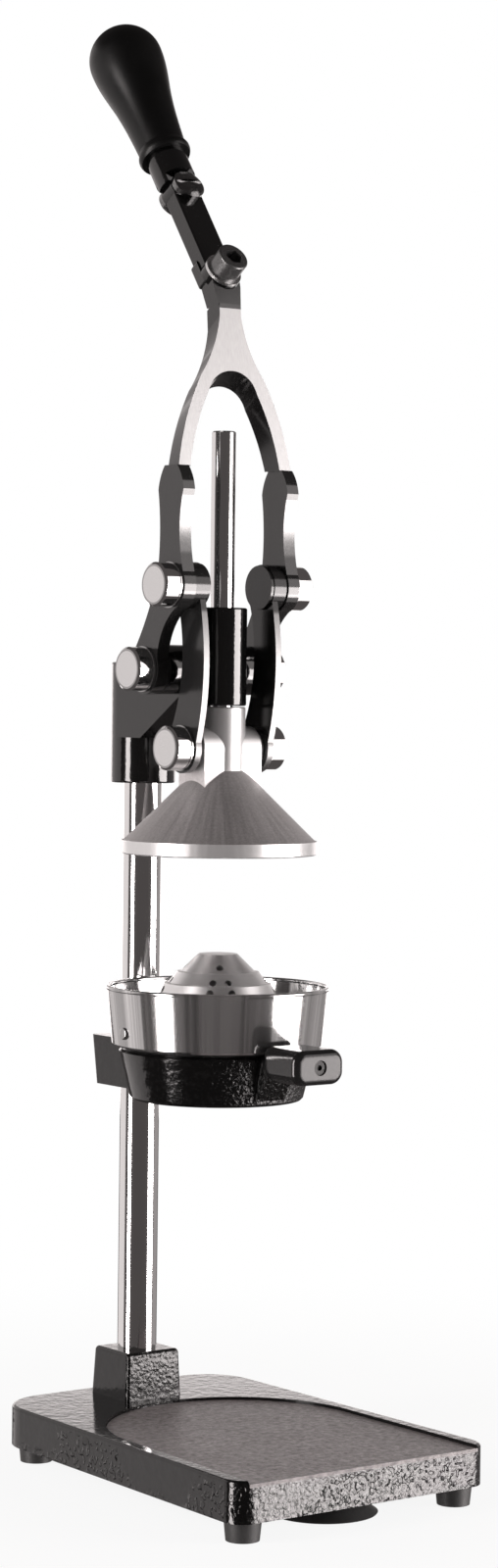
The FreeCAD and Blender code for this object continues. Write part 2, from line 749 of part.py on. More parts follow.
def press_pin():
    """Pin in the bell's boss, on which a link's lower eye turns."""
    head_x = LINK_INNER + LINK_THICKNESS + SIDE_GAP
    return pivot_pin(head_x, BOSS_BLOCK_HALF_X - PIN_BITE, 0.0, PRESS_PIVOT_Z)


# Lever fork


def arm_face():
    """Side view of a fork arm from the fulcrum eye to the top of its lobe."""
    face_low = side(FORK_FACE_LOW_Y, FORK_FACE_LOW_Z)
    rear_low = side(FORK_FACE_LOW_Y + FORK_DEPTH, FORK_FACE_LOW_Z)
    lobe_front = side(-LOBE_FRONT, LOBE_Z)
    lobe_rear = side(LOBE_REAR, LOBE_Z)
    eye_front = side(CRANK_Y - EYE_RADIUS * 0.86, CRANK_Z + EYE_RADIUS * 0.5)
    eye_rear = side(CRANK_Y + EYE_RADIUS * 0.86, CRANK_Z + EYE_RADIUS * 0.5)
    waist_front = side(-ARM_WAIST_FRONT, ARM_WAIST_Z)
    waist_rear = side(ARM_WAIST_REAR, ARM_WAIST_Z)
    front_round = side(-LOBE_FRONT + 1.4, LOBE_Z + LOBE_ROUND)
    rear_round = side(LOBE_REAR - 1.4, LOBE_Z + LOBE_ROUND)
    edges = [
        bow(eye_front, waist_front, lobe_front),
        bow(lobe_front, front_round, face_low),
        line(face_low, rear_low),
        bow(rear_low, rear_round, lobe_rear),
        bow(lobe_rear, waist_rear, eye_rear),
        line(eye_rear, eye_front),
    ]
    return filled(edges)


def crank_face():
    """Side view of the stretch between the fulcrum eye and the crank eye."""
    front_top = side(CRANK_Y - EYE_RADIUS * 0.40, CRANK_Z - EYE_RADIUS * 0.90)
    front_mid = side(CRANK_Y + CRANK_WAIST_Y, CRANK_Z - CRANK_WAIST_DROP)
    front_low = side(FULCRUM_Y - EYE_RADIUS * 0.90, FULCRUM_Z + EYE_RADIUS * 0.40)
    rear_low = side(FULCRUM_Y + EYE_RADIUS * 0.86, FULCRUM_Z + EYE_RADIUS * 0.5)
    rear_mid = side(CRANK_Y + CRANK_HEEL_Y, CRANK_Z - CRANK_HEEL_DROP)
    rear_top = side(CRANK_Y + EYE_RADIUS * 0.995, CRANK_Z + EYE_RADIUS * 0.09)
    edges = [
        bow(front_top, front_mid, front_low),
        line(front_low, rear_low),
        bow(rear_low, rear_mid, rear_top),
        line(rear_top, front_top),
    ]
    return filled(edges)


def fork_arm():
    """Right arm of the fork: two eyes, the crank between them and the lobe."""
    arm = plate(arm_face(), ARM_INNER, ARM_OUTER)
    arm = arm.fuse(plate(crank_face(), ARM_INNER, ARM_OUTER))
    for y, z in ((CRANK_Y, CRANK_Z), (FULCRUM_Y, FULCRUM_Z)):
        eye = bar(EYE_RADIUS, point(ARM_INNER, y, z), point(ARM_OUTER, y, z))
        arm = arm.fuse(eye)
    for y, z, fit in ((CRANK_Y, CRANK_Z, THREAD_CLEARANCE), (FULCRUM_Y, FULCRUM_Z, PIN_FIT)):
        bore = bar(PIN_RADIUS + fit, point(ARM_INNER - 1, y, z), point(ARM_OUTER + 1, y, z))
        arm = arm.cut(bore)
    return arm.removeSplitter()


def yoke_outline():
    """Front view of the wishbone above the arms, on the plane of its front."""
    y = FORK_FACE_LOW_Y
    neck_z = FORK_FACE_TOP_Z + FORK_DEPTH
    edges = []
    for sign in (-1, 1):
        neck = point(sign * NECK_HALF, y, neck_z)
        neck_low = point(sign * NECK_HALF, y, FORK_FACE_TOP_Z)
        flare = point(sign * FLARE_HALF, y, FLARE_Z)
        spread = point(sign * SPREAD_HALF, y, SPREAD_Z)
        shoulder = point(sign * SHOULDER_HALF, y, SHOULDER_Z)
        outer = point(sign * ARM_OUTER, y, STRAIGHT_Z)
        inner = point(sign * ARM_INNER, y, STRAIGHT_Z)
        arch_mid = point(sign * ARCH_MID_HALF, y, ARCH_MID_Z)
        arch_side = point(sign * ARCH_SIDE_HALF, y, ARCH_SIDE_Z)
        edges += [line(neck, neck_low), bow(neck_low, flare, spread)]
        edges += [bow(spread, shoulder, outer), line(outer, inner)]
        edges += [bow(inner, arch_mid, arch_side)]
    top = point(0, y, ARCH_TOP_Z)
    edges.append(bow(point(-ARCH_SIDE_HALF, y, ARCH_SIDE_Z), top,
                     point(ARCH_SIDE_HALF, y, ARCH_SIDE_Z)))
    edges.append(line(point(-NECK_HALF, y, neck_z), point(NECK_HALF, y, neck_z)))
    return filled(Part.sortEdges(edges)[0])


def yoke():
    """Wishbone: its front view swept square to the upper lever, between flat faces."""
    lean = math.radians(LEVER_LEAN)
    way = point(0, math.cos(lean), -math.sin(lean))
    reach = 60.0
    outline = yoke_outline()
    outline.translate(way * (-reach / 2))
    sweep = outline.extrude(way * reach)
    low_y = FORK_FACE_LOW_Y
    slope = (FORK_FACE_TOP_Y - low_y) / (FORK_FACE_TOP_Z - FORK_FACE_LOW_Z)
    foot_z = FORK_FACE_LOW_Z - 0.5
    head_z = FORK_FACE_TOP_Z + 2.0
    foot_y = low_y + slope * (foot_z - FORK_FACE_LOW_Z)
    head_y = low_y + slope * (head_z - FORK_FACE_LOW_Z)
    slab = polygon([
        side(foot_y, foot_z),
        side(foot_y + FORK_DEPTH, foot_z),
        side(head_y + FORK_DEPTH, head_z),
        side(head_y, head_z),
    ])
    return sweep.common(plate(slab, -ARM_OUTER - 1, ARM_OUTER + 1))


def neck_face():
    """Side view of the neck that turns back from the wishbone to the tab."""
    top = FORK_FACE_TOP_Z
    half = BAR_THICKNESS / 2
    inner = side(FORK_FACE_TOP_Y, top)
    outer = side(FORK_FACE_TOP_Y + FORK_DEPTH, top)
    return polygon([
        inner,
        lever_point(NECK_TOP_AT, -half),
        lever_point(NECK_TOP_AT, 0),
        lever_point(TAB_FOOT - TAB_CORNER, 0),
        lever_point(TAB_FOOT - TAB_CORNER, TAB_BACK - TAB_CORNER),
        outer,
    ])


def fork_tab():
    """Square-ended tab behind the bar, on the neck, whose top the bar's eye nests in."""
    neck = plate(neck_face(), -BAR_HALF_WIDTH, BAR_HALF_WIDTH).common(neck_taper())
    nest = bar(BAR_EYE_RADIUS + LAP_GAP, lever_point(CLAMP_AT, -BAR_THICKNESS),
               lever_point(CLAMP_AT, 0))
    tab = slab_on_lever(TAB_HALF_WIDTH, 0, TAB_BACK, TAB_END, TAB_FOOT)
    tab = tab.makeFillet(TAB_CORNER, rear_edges(tab))
    return neck.cut(nest).fuse(tab)


def rear_edges(tab):
    """Edges of the tab that don't lie on its front face."""
    face_middle = lever_point((TAB_END + TAB_FOOT) / 2, 0)
    inward = lever_point(0, 1).sub(lever_point(0, 0))
    found = []
    for edge in tab.Edges:
        ends = [vertex.Point.sub(face_middle).dot(inward) for vertex in edge.Vertexes]
        if max(ends) > TAB_BACK / 2:
            found.append(edge)
    return found


def neck_taper():
    """Wedge that narrows the neck from the tab down to the wishbone."""
    low = FORK_FACE_TOP_Z
    high = COLLAR_Z
    wide = BAR_HALF_WIDTH
    wide_z = lever_point(NECK_TOP_AT, 0).z
    y = FORK_FACE_LOW_Y - FORK_DEPTH
    corners = [
        point(-NECK_HALF, y, low),
        point(NECK_HALF, y, low),
        point(wide, y, wide_z),
        point(wide, y, high),
        point(-wide, y, high),
        point(-wide, y, wide_z),
    ]
    return polygon(corners).extrude(BACK * (8 * FORK_DEPTH))


def lever_fork():
    """Forged fork: two arms, the wishbone and the tab for the upper bar."""
    arm = fork_arm()
    body = yoke().fuse([arm, mirrored(arm), fork_tab()])
    start = lever_point(CLAMP_AT, -BAR_THICKNESS)
    end = lever_point(CLAMP_AT, TAB_BACK + 1.0)
    body = body.cut(bar(CAP_SCREW_RADIUS + THREAD_CLEARANCE, start, end))
    return body.removeSplitter()


# Upper lever


def lever_bar():
    """Flat bar with an eye at its foot, a round neck above and a tang in the grip."""
    half = BAR_THICKNESS / 2
    flat = slab_on_lever(BAR_HALF_WIDTH, -half, half, STOP_SCREW_AT, CLAMP_AT)
    long_edges = [edge for edge in flat.Edges if edge.Length > CLAMP_AT - STOP_SCREW_AT - 1.0]
    flat = flat.makeFillet(BAR_CORNER, long_edges)
    lap = slab_on_lever(BAR_EYE_RADIUS + 1, 0.0, half + 1, TAB_END - LAP_GAP,
                        CLAMP_AT + BAR_EYE_RADIUS)
    eye = bar(BAR_EYE_RADIUS, lever_point(CLAMP_AT, -half), lever_point(CLAMP_AT, 0))
    boss = bar(STOP_BOSS_RADIUS, lever_point(STOP_SCREW_AT, -half),
               lever_point(STOP_SCREW_AT, half))
    tang = bar(BAR_TANG_RADIUS, grip_point(-GRIP_START), grip_point(BAR_IN_GRIP))
    body = flat.cut(lap).fuse([eye, boss, bar_neck(), tang])
    body = body.cut(bar(CAP_SCREW_RADIUS + 0.3, lever_point(CLAMP_AT, -half - 1),
                        lever_point(CLAMP_AT, 1.0)))
    body = body.cut(bar(STOP_SCREW_RADIUS + 0.2, lever_point(STOP_SCREW_AT, -half - 1),
                        lever_point(STOP_SCREW_AT, half + 1)))
    return body.removeSplitter()


def bar_neck():
    """Round neck under the grip, flattened in front and behind near the screw."""
    half = BAR_THICKNESS / 2
    wide = BAR_NECK_RADIUS + 1
    flats_top = STOP_SCREW_AT - STOP_NUT_RADIUS - BAR_NECK_TO_HEAD
    neck = bar(BAR_NECK_RADIUS, lever_point(BAR_NECK_END, 0),
               lever_point(-GRIP_START + GRIP_TO_NECK, 0))
    neck = neck.cut(slab_on_lever(wide, half, wide, flats_top, BAR_NECK_END + 1))
    return neck.cut(slab_on_lever(wide, -wide, -half, flats_top, BAR_NECK_END + 1))


def slab_on_lever(half_width, front, back, top, foot):
    """Straight slab along the lever, given by its distances below the collar."""
    corners = [
        lever_point(top, front, -half_width),
        lever_point(top, back, -half_width),
        lever_point(foot, back, -half_width),
        lever_point(foot, front, -half_width),
    ]
    return polygon(corners).extrude(RIGHT * (2 * half_width))


def cap_screw():
    """Socket-head screw that clamps the bar on the fork's tab."""
    half = BAR_THICKNESS / 2
    seat = half + WASHER_THICKNESS
    top = lever_point(CLAMP_AT, -seat - CAP_HEAD_HEIGHT)
    head = bar(CAP_HEAD_RADIUS, lever_point(CLAMP_AT, -seat), top)
    rims = [edge for edge in head.Edges if edge.Length > CAP_HEAD_RADIUS * 6
            and edge.CenterOfMass.distanceToPoint(top) < 0.5]
    head = head.makeFillet(0.9, rims)
    inward = lever_point(0, 1).sub(lever_point(0, 0))
    head = head.cut(hexagon(CAP_SOCKET_ACROSS, CAP_SOCKET_DEPTH, top, inward))
    shank = bar(CAP_SCREW_RADIUS, lever_point(CLAMP_AT, -seat),
                lever_point(CLAMP_AT, TAB_BACK - 0.6))
    return head.fuse(shank)


def cap_washer():
    half = BAR_THICKNESS / 2
    start = lever_point(CLAMP_AT, -half)
    end = lever_point(CLAMP_AT, -half - WASHER_THICKNESS)
    return bar(WASHER_RADIUS, start, end).cut(bar(CAP_SCREW_RADIUS + 0.2, start, end))


def stop_screw():
    """Thick slotted screw with a domed head, through the bar just below the grip."""
    base = lever_point(STOP_SCREW_AT, -BAR_THICKNESS / 2)
    outward = lever_point(0, -1).sub(lever_point(0, 0))
    radius = STOP_HEAD_RADIUS
    height = STOP_HEAD_RIM + STOP_HEAD_DOME
    ball = (radius * radius + STOP_HEAD_DOME * STOP_HEAD_DOME) / (2 * STOP_HEAD_DOME)
    dome = Part.makeSphere(ball, base - outward * (ball - height))
    head = dome.common(Part.makeCylinder(radius, height + 1.0, base, outward))
    slot = Part.makeBox(3 * radius, STOP_SLOT_WIDTH, height,
                        point(-1.5 * radius, -STOP_SLOT_WIDTH / 2, height - STOP_SLOT_DEPTH))
    slot.Placement = FreeCAD.Placement(base, FreeCAD.Rotation(RIGHT, lever_bar_way(), outward, "ZXY"))
    head = head.cut(slot)
    shank = bar(STOP_SCREW_RADIUS, base,
                lever_point(STOP_SCREW_AT, BAR_THICKNESS / 2 + STOP_NUT_HEIGHT - 0.4))
    return head.fuse(shank)


def stop_nut():
    """Round nut with a bevelled rim, behind the bar."""
    half = BAR_THICKNESS / 2
    start = lever_point(STOP_SCREW_AT, half)
    end = lever_point(STOP_SCREW_AT, half + STOP_NUT_HEIGHT)
    nut = bar(STOP_NUT_RADIUS, start, end)
    rim = [edge for edge in nut.Edges if edge.CenterOfMass.distanceToPoint(end) < 0.1]
    nut = nut.makeChamfer(STOP_NUT_CHAMFER, rim)
    return nut.cut(bar(STOP_SCREW_RADIUS + THREAD_CLEARANCE, start, end))


def grip_way():
    """Direction up the grip, which leans a little less than the bar."""
    lean = math.radians(GRIP_LEAN)
    return point(0, math.sin(lean), math.cos(lean))


def grip_point(up):
    """Point on the grip's axis, measured from its lower end."""
    return lever_point(-GRIP_START, 0) + grip_way() * up


def grip():
    """Turned pear-shaped grip with a rolled collar, bored for the bar's tang."""
    edge = point(GRIP_COLLAR_EDGE, 0, 0)
    bead = point(GRIP_COLLAR_RADIUS, 0, GRIP_COLLAR_HEIGHT / 2)
    collar_top = point(GRIP_COLLAR_EDGE, 0, GRIP_COLLAR_HEIGHT)
    neck = point(GRIP_NECK_RADIUS, 0, GRIP_NECK_AT)
    mid = point(GRIP_MID_RADIUS, 0, GRIP_MID_AT)
    belly = point(GRIP_BELLY_RADIUS, 0, GRIP_BELLY_AT)
    top = point(0, 0, GRIP_BELLY_AT + GRIP_BELLY_RADIUS)
    half_turn = GRIP_BELLY_RADIUS * math.sqrt(0.5)
    cap_mid = point(half_turn, 0, GRIP_BELLY_AT + half_turn)
    flank = Part.BSplineCurve()
    flank.interpolate([neck, mid, belly], Tangents=[point(0.06, 0, 1), point(0.17, 0, 1), UP],
                      TangentFlags=[True, True, True])
    edges = [
        line(point(0, 0, 0), edge),
        bow(edge, bead, collar_top),
        line(collar_top, neck),
        flank.toShape(),
        bow(belly, cap_mid, top),
        line(top, point(0, 0, 0)),
    ]
    body = filled(edges).revolve(point(0, 0, 0), UP, 360)
    body.Placement = FreeCAD.Placement(grip_point(0), FreeCAD.Rotation(UP, grip_way()))
    return body.cut(bar(BAR_TANG_RADIUS + GRIP_FIT, grip_point(-1), grip_point(BAR_IN_GRIP + 1)))


# Links


def link_face():
    """Side view of a link's curved waist, between its two eyes."""
    upper_front = side(CRANK_Y - LINK_UPPER_RADIUS * 0.80, CRANK_Z - LINK_UPPER_RADIUS * 0.60)
    upper_rear = side(CRANK_Y + LINK_UPPER_RADIUS * 0.92, CRANK_Z - LINK_UPPER_RADIUS * 0.40)
    lower_front = side(-LINK_LOWER_RADIUS * 0.97, PRESS_PIVOT_Z + LINK_LOWER_RADIUS * 0.24)
    lower_rear = side(LINK_LOWER_RADIUS * 0.86, PRESS_PIVOT_Z + LINK_LOWER_RADIUS * 0.5)
    front_mid = side(-LINK_BULGE_FRONT, LINK_BULGE_Z)
    rear_mid = side(LINK_BULGE_REAR, LINK_BULGE_Z)
    edges = [
        bow(upper_front, front_mid, lower_front),
        line(lower_front, lower_rear),
        bow(lower_rear, rear_mid, upper_rear),
        line(upper_rear, upper_front),
    ]
    return filled(edges)


def link():
    """Right link: curved plate, closed upper boss and bored lower eye."""
    inner = LINK_INNER
    outer = LINK_INNER + LINK_THICKNESS
    upper_outer = ARM_INNER - SIDE_GAP
    body = plate(link_face(), inner, outer)
    body = body.fuse(bar(LINK_UPPER_RADIUS, point(inner, CRANK_Y, CRANK_Z),
                         point(upper_outer, CRANK_Y, CRANK_Z)))
    body = body.fuse(bar(LINK_BOSS_RADIUS, point(inner - LINK_BOSS_INWARD, CRANK_Y, CRANK_Z),
                         point(inner, CRANK_Y, CRANK_Z)))
    body = body.fuse(bar(LINK_LOWER_RADIUS, point(inner, 0, PRESS_PIVOT_Z),
                         point(outer, 0, PRESS_PIVOT_Z)))
    body = body.cut(bar(PIN_RADIUS + PIN_FIT, point(inner - 1, 0, PRESS_PIVOT_Z),
                        point(outer + 1, 0, PRESS_PIVOT_Z)))
    return body.removeSplitter()


# Guide rod and bell


def neck_top():
    return BARREL_BOTTOM - NECK_TO_BARREL


def guide_rod():
    rod = bar(ROD_RADIUS, point(0, 0, neck_top() - ROD_BITE), point(0, 0, ROD_TOP))
    ends = [edge for edge in rod.Edges if edge.BoundBox.ZLength < 0.01]
    return rod.makeChamfer(0.6, ends)


def bell_shell():
    """Conical bell with an upright rim, closed at the top by its neck."""
    rim_top = BELL_BOTTOM + BELL_RIM_HEIGHT
    inner = BELL_RADIUS - BELL_WALL
    inner_top_z = BELL_TOP - BELL_WALL * math.sqrt(2)
    inner_top_radius = NECK_RADIUS - 1.0
    profile = [
        (inner, BELL_BOTTOM),
        (BELL_RADIUS - 0.6, BELL_BOTTOM),
        (BELL_RADIUS, BELL_BOTTOM + 0.6),
        (BELL_RADIUS, rim_top),
        (BELL_RADIUS - BELL_RIM_STEP, rim_top),
        (NECK_RADIUS, BELL_TOP),
        (NECK_RADIUS, neck_top() - 0.6),
        (NECK_RADIUS - 0.6, neck_top()),
        (0, neck_top()),
        (0, inner_top_z),
        (inner_top_radius, inner_top_z),
        (inner, rim_top - 1.5),
    ]
    return turned(profile)


def boss_block():
    """Round-topped block for the press pins, standing on the bell."""
    radius = BOSS_BLOCK_RADIUS
    z = PRESS_PIVOT_Z
    low = BELL_TOP - radius
    edges = [
        bow(side(-radius, z), side(0, z + radius), side(radius, z)),
        line(side(radius, z), side(radius, low)),
        line(side(radius, low), side(-radius, low)),
        line(side(-radius, low), side(-radius, z)),
    ]
    return plate(filled(edges), -BOSS_BLOCK_HALF_X, BOSS_BLOCK_HALF_X)


def press_cone():
    """Bell casting: shell, neck bored for the rod, and the block with its pin holes."""
    body = bell_shell().fuse(boss_block())
    z = PRESS_PIVOT_Z
    collar_end = LINK_INNER - SIDE_GAP
    body = body.fuse(bar(BOSS_COLLAR_RADIUS, point(-collar_end, 0, z), point(collar_end, 0, z)))
    body = body.cut(bar(ROD_RADIUS + THREAD_CLEARANCE, point(0, 0, neck_top() - ROD_BITE),
                        point(0, 0, neck_top() + 1)))
    hole_end = BOSS_BLOCK_HALF_X - PIN_BITE - 0.2
    for sign in (-1, 1):
        body = body.cut(bar(PIN_RADIUS + THREAD_CLEARANCE, point(sign * hole_end, 0, z),
                            point(sign * (collar_end + 1), 0, z)))
    return body.removeSplitter()


# Cup holder, handle, cup and strainer


def holder_block_face():
    """Side view of the clamp block between the ring and the column."""
    rear_top = COLUMN_OFFSET + HOLDER_BLOCK_REAR_TOP
    rear_bottom = COLUMN_OFFSET + HOLDER_BLOCK_REAR_BOTTOM
    front = HOLDER_BOTTOM_RADIUS - HOLDER_WALL
    return polygon([
        side(front, HOLDER_BOTTOM),
        side(rear_bottom, HOLDER_BOTTOM),
        side(rear_top, HOLDER_TOP),
        side(front, HOLDER_TOP),
    ])


def cup_holder():
    """Tapered ring with a clamp block that slides on the column."""
    top_inner = HOLDER_TOP_RADIUS - HOLDER_WALL
    bottom_inner = HOLDER_BOTTOM_RADIUS - HOLDER_WALL
    edge = HOLDER_EDGE
    inside = turned([(0, HOLDER_BOTTOM - 1), (bottom_inner, HOLDER_BOTTOM - 1),
                     (bottom_inner, HOLDER_BOTTOM), (top_inner, HOLDER_TOP),
                     (top_inner, HOLDER_TOP + 1), (0, HOLDER_TOP + 1)])
    outside = turned([(0, HOLDER_BOTTOM), (HOLDER_BOTTOM_RADIUS - edge, HOLDER_BOTTOM),
                      (HOLDER_BOTTOM_RADIUS, HOLDER_BOTTOM + edge),
                      (HOLDER_TOP_RADIUS, HOLDER_TOP - edge),
                      (HOLDER_TOP_RADIUS - edge, HOLDER_TOP), (0, HOLDER_TOP)])
    outside = outside.fuse(plate(handle_neck_face(), -HANDLE_NECK_HALF, HANDLE_NECK_HALF))
    block = plate(holder_block_face(), -HOLDER_BLOCK_HALF_X, HOLDER_BLOCK_HALF_X)
    rear = COLUMN_OFFSET + HOLDER_BLOCK_REAR_BOTTOM - 1.0
    corners = [e for e in block.Edges if e.CenterOfMass.y > rear and e.BoundBox.ZLength > 5]
    block = block.makeFillet(HOLDER_BLOCK_CORNER, corners)
    body = outside.fuse(block).cut(inside)
    y = COLUMN_OFFSET
    body = body.cut(bar(COLUMN_RADIUS + HOLDER_SLIDE_FIT, point(0, y, HOLDER_BOTTOM - 1),
                        point(0, y, HOLDER_TOP + 1)))
    z = holder_middle()
    body = body.cut(bar(CLAMP_SCREW_RADIUS + THREAD_CLEARANCE, point(0, y + COLUMN_RADIUS - 1, z),
                        point(0, y + HOLDER_BLOCK_REAR_TOP + 1, z)))
    screw_z = handle_middle()
    body = body.cut(bar(HANDLE_SCREW_RADIUS + THREAD_CLEARANCE,
                        point(0, -handle_neck_end() - 1, screw_z),
                        point(0, -handle_neck_end() + HANDLE_SCREW_BITE + 1, screw_z)))
    body = body.cut(screw_spot_face())
    return body.removeSplitter()


def holder_middle():
    return (HOLDER_TOP + HOLDER_BOTTOM) / 2


def holder_screw_seat():
    """Flat seat of the holder's clamp screw, at the back of its block."""
    return COLUMN_OFFSET + HOLDER_BLOCK_REAR_BOTTOM - 0.5


def screw_spot_face():
    z = holder_middle()
    return bar(CLAMP_SCREW_HEAD_RADIUS + 1.0, point(0, holder_screw_seat(), z),
               point(0, holder_screw_seat() + SPOT_FACE_DEPTH, z))


def handle_root():
    """Distance from the press axis to the back of the handle."""
    return HANDLE_REACH - HANDLE_LENGTH


def handle_middle():
    """Height of the handle's screw."""
    return HOLDER_TOP - HANDLE_DROP


def handle_neck_end():
    return handle_root() + HANDLE_SOCKET_DEPTH


def handle_neck_face():
    """Side view of the neck that carries the handle, clear of the cup's wall."""
    low = handle_middle() - HANDLE_NECK_HALF_HEIGHT
    high = handle_middle() + HANDLE_NECK_HALF_HEIGHT
    cup_side = -CUP_FLOOR_RADIUS - HANDLE_TO_CUP
    inside = -HOLDER_BOTTOM_RADIUS + HOLDER_WALL / 2
    return polygon([
        side(inside, HOLDER_BOTTOM + 3.0),
        side(inside - 4.0, HOLDER_BOTTOM + 3.0),
        side(cup_side, low),
        side(-handle_neck_end(), low),
        side(-handle_neck_end(), high),
        side(cup_side, high),
        side(cup_side, HOLDER_TOP),
        side(inside, HOLDER_TOP),
    ])


def front_handle():
    """Moulded thumb handle, rounded all over, with a socket for the neck."""
    z = handle_middle()
    low = z - HANDLE_HEIGHT / 2
    back = -handle_root()
    block = Part.makeBox(2 * HANDLE_HALF_WIDTH, HANDLE_LENGTH, HANDLE_HEIGHT,
                         point(-HANDLE_HALF_WIDTH, -HANDLE_REACH, low))
    lower_back = [e for e in block.Edges if e.BoundBox.YMin > back - 0.01
                  and e.BoundBox.ZMax < low + 0.01]
    block = block.makeFillet(HANDLE_HEEL_ROUNDING, lower_back)
    lengthwise = [e for e in block.Edges if e.BoundBox.XLength < 0.01
                  and e.BoundBox.ZLength < 0.01]
    block = block.makeFillet(HANDLE_END_ROUNDING, lengthwise)
    face_rim = [e for e in block.Edges if e.BoundBox.YMax < -HANDLE_REACH + 0.01]
    block = block.makeFillet(HANDLE_FACE_ROUNDING, face_rim)
    upper_back = [e for e in block.Edges if e.BoundBox.YMin > back - 0.01
                  and e.BoundBox.ZMin > low + HANDLE_HEIGHT - HANDLE_END_ROUNDING - 0.01]
    block = block.makeFillet(HANDLE_BACK_ROUNDING, upper_back)
    socket_end = -handle_neck_end() - HANDLE_SOCKET_FIT
    half = HANDLE_NECK_HALF + HANDLE_SOCKET_FIT
    half_height = HANDLE_NECK_HALF_HEIGHT + HANDLE_SOCKET_FIT
    block = block.cut(Part.makeBox(2 * half, HANDLE_LENGTH, 2 * half_height,
                                   point(-half, socket_end, z - half_height)))
    recess_floor = -HANDLE_REACH + HANDLE_SCREW_RECESS_DEPTH
    block = block.cut(bar(HANDLE_SCREW_RECESS_RADIUS, point(0, -HANDLE_REACH - 1, z),
                          point(0, recess_floor, z)))
    return block.cut(bar(HANDLE_SCREW_RADIUS + 0.3, point(0, recess_floor - 1, z),
                         point(0, socket_end + 1, z)))


def handle_screw():
    """Screw through the handle into the neck, its head in the recess."""
    z = handle_middle()
    seat = -HANDLE_REACH + HANDLE_SCREW_RECESS_DEPTH
    head = bar(HANDLE_SCREW_RECESS_RADIUS - 0.3, point(0, seat - 2.2, z), point(0, seat, z))
    head = head.cut(hexagon(2.6, 1.4, point(0, seat - 2.2, z), BACK))
    tip = -handle_neck_end() + HANDLE_SCREW_BITE
    return head.fuse(bar(HANDLE_SCREW_RADIUS, point(0, seat, z), point(0, tip, z)))


def holder_screw():
    return clamp_screw(holder_middle(), holder_screw_seat())


def juice_cup():
    """Spun cup: rolled lip, seat ring, funnel floor and spout."""
    rim = CUP_RIM_Z - CUP_LIP_RADIUS
    wall = CUP_WALL
    seat = HOLDER_TOP
    floor_top = CUP_FLOOR_Z + wall
    throat = CUP_THROAT_RADIUS
    profile = [
        (CUP_FLOOR_RADIUS - 1.0, CUP_FLOOR_Z),
        (CUP_FLOOR_RADIUS, CUP_FLOOR_Z + 1.0),
        (CUP_RIM_RADIUS, rim),
        (CUP_RIM_RADIUS - wall, rim),
        (CUP_FLOOR_RADIUS - wall, floor_top),
        (throat, floor_top),
        (throat - 5.0, floor_top - 4.0),
        (CUP_SPOUT_RADIUS - wall, CUP_SPOUT_TOP + 1.5),
        (CUP_SPOUT_RADIUS - wall, CUP_SPOUT_BOTTOM),
        (CUP_SPOUT_RADIUS, CUP_SPOUT_BOTTOM),
        (CUP_SPOUT_RADIUS, CUP_SPOUT_TOP),
        (throat - CUP_FUNNEL_IN, floor_top - CUP_FUNNEL_DROP),
        (throat + CUP_SIDE_CLEARANCE, seat - 2.0),
        (throat + CUP_SIDE_CLEARANCE, seat),
        (HOLDER_TOP_RADIUS - 2.5, seat),
        (HOLDER_TOP_RADIUS - 1.5, CUP_FLOOR_Z),
    ]
    body = turned(profile)
    lip = Part.makeTorus(CUP_RIM_RADIUS - wall / 2, CUP_LIP_RADIUS, point(0, 0, rim), UP)
    body = body.fuse(lip)
    body = body.cut(rivet_shanks())
    return body.removeSplitter()


def rivet_way(sign):
    turn = math.radians(CUP_TURN)
    return point(sign * math.cos(turn), sign * math.sin(turn), 0)


def rivet_shanks():
    """Two short bars through the cup's wall."""
    bars = []
    for sign in (-1, 1):
        way = rivet_way(sign)
        start = way * (CUP_FLOOR_RADIUS - CUP_WALL - 3.0) + UP * RIVET_Z
        end = way * (CUP_FLOOR_RADIUS + 4.0) + UP * RIVET_Z
        bars.append(bar(RIVET_RADIUS, start, end))
    return Part.makeCompound(bars)


def cup_rivets():
    """Round rivet heads outside and inside the cup, on their shanks."""
    rivets = []
    share = (RIVET_Z - CUP_FLOOR_Z) / (CUP_RIM_Z - CUP_FLOOR_Z)
    wall_radius = CUP_FLOOR_RADIUS + (CUP_RIM_RADIUS - CUP_FLOOR_RADIUS) * share
    for sign in (-1, 1):
        way = rivet_way(sign)
        outer = way * (wall_radius + RIVET_HEAD_HEIGHT) + UP * RIVET_Z
        inner = way * (wall_radius - CUP_WALL - RIVET_HEAD_HEIGHT) + UP * RIVET_Z
        heads = bar(RIVET_HEAD_RADIUS, inner, outer)
        rims = [e for e in heads.Edges if e.Length > 2 * math.pi * RIVET_HEAD_RADIUS - 0.1]
        rivets.append(heads.makeFillet(RIVET_HEAD_HEIGHT * 0.7, rims))
    return Part.makeCompound(rivets).cut(juice_cup())


def strainer_flank():
    """Outside of the stepped cone in section, from its top down to its flange."""
    ledge = STRAINER_LEDGE
    corners = [
        (STRAINER_TOP_RADIUS - 1.0, STRAINER_HEIGHT),
        (STRAINER_TOP_RADIUS, STRAINER_HEIGHT - 0.8),
        (STRAINER_UPPER_STEP_RADIUS, STRAINER_UPPER_STEP),
        (STRAINER_UPPER_STEP_RADIUS + ledge, STRAINER_UPPER_STEP - 0.3),
        (STRAINER_LOWER_STEP_RADIUS, STRAINER_LOWER_STEP),
        (STRAINER_LOWER_STEP_RADIUS + ledge, STRAINER_LOWER_STEP - 0.3),
        (STRAINER_FOOT_RADIUS, STRAINER_WALL),
    ]
    return [(radius, STRAINER_FLOOR + height) for radius, height in corners]


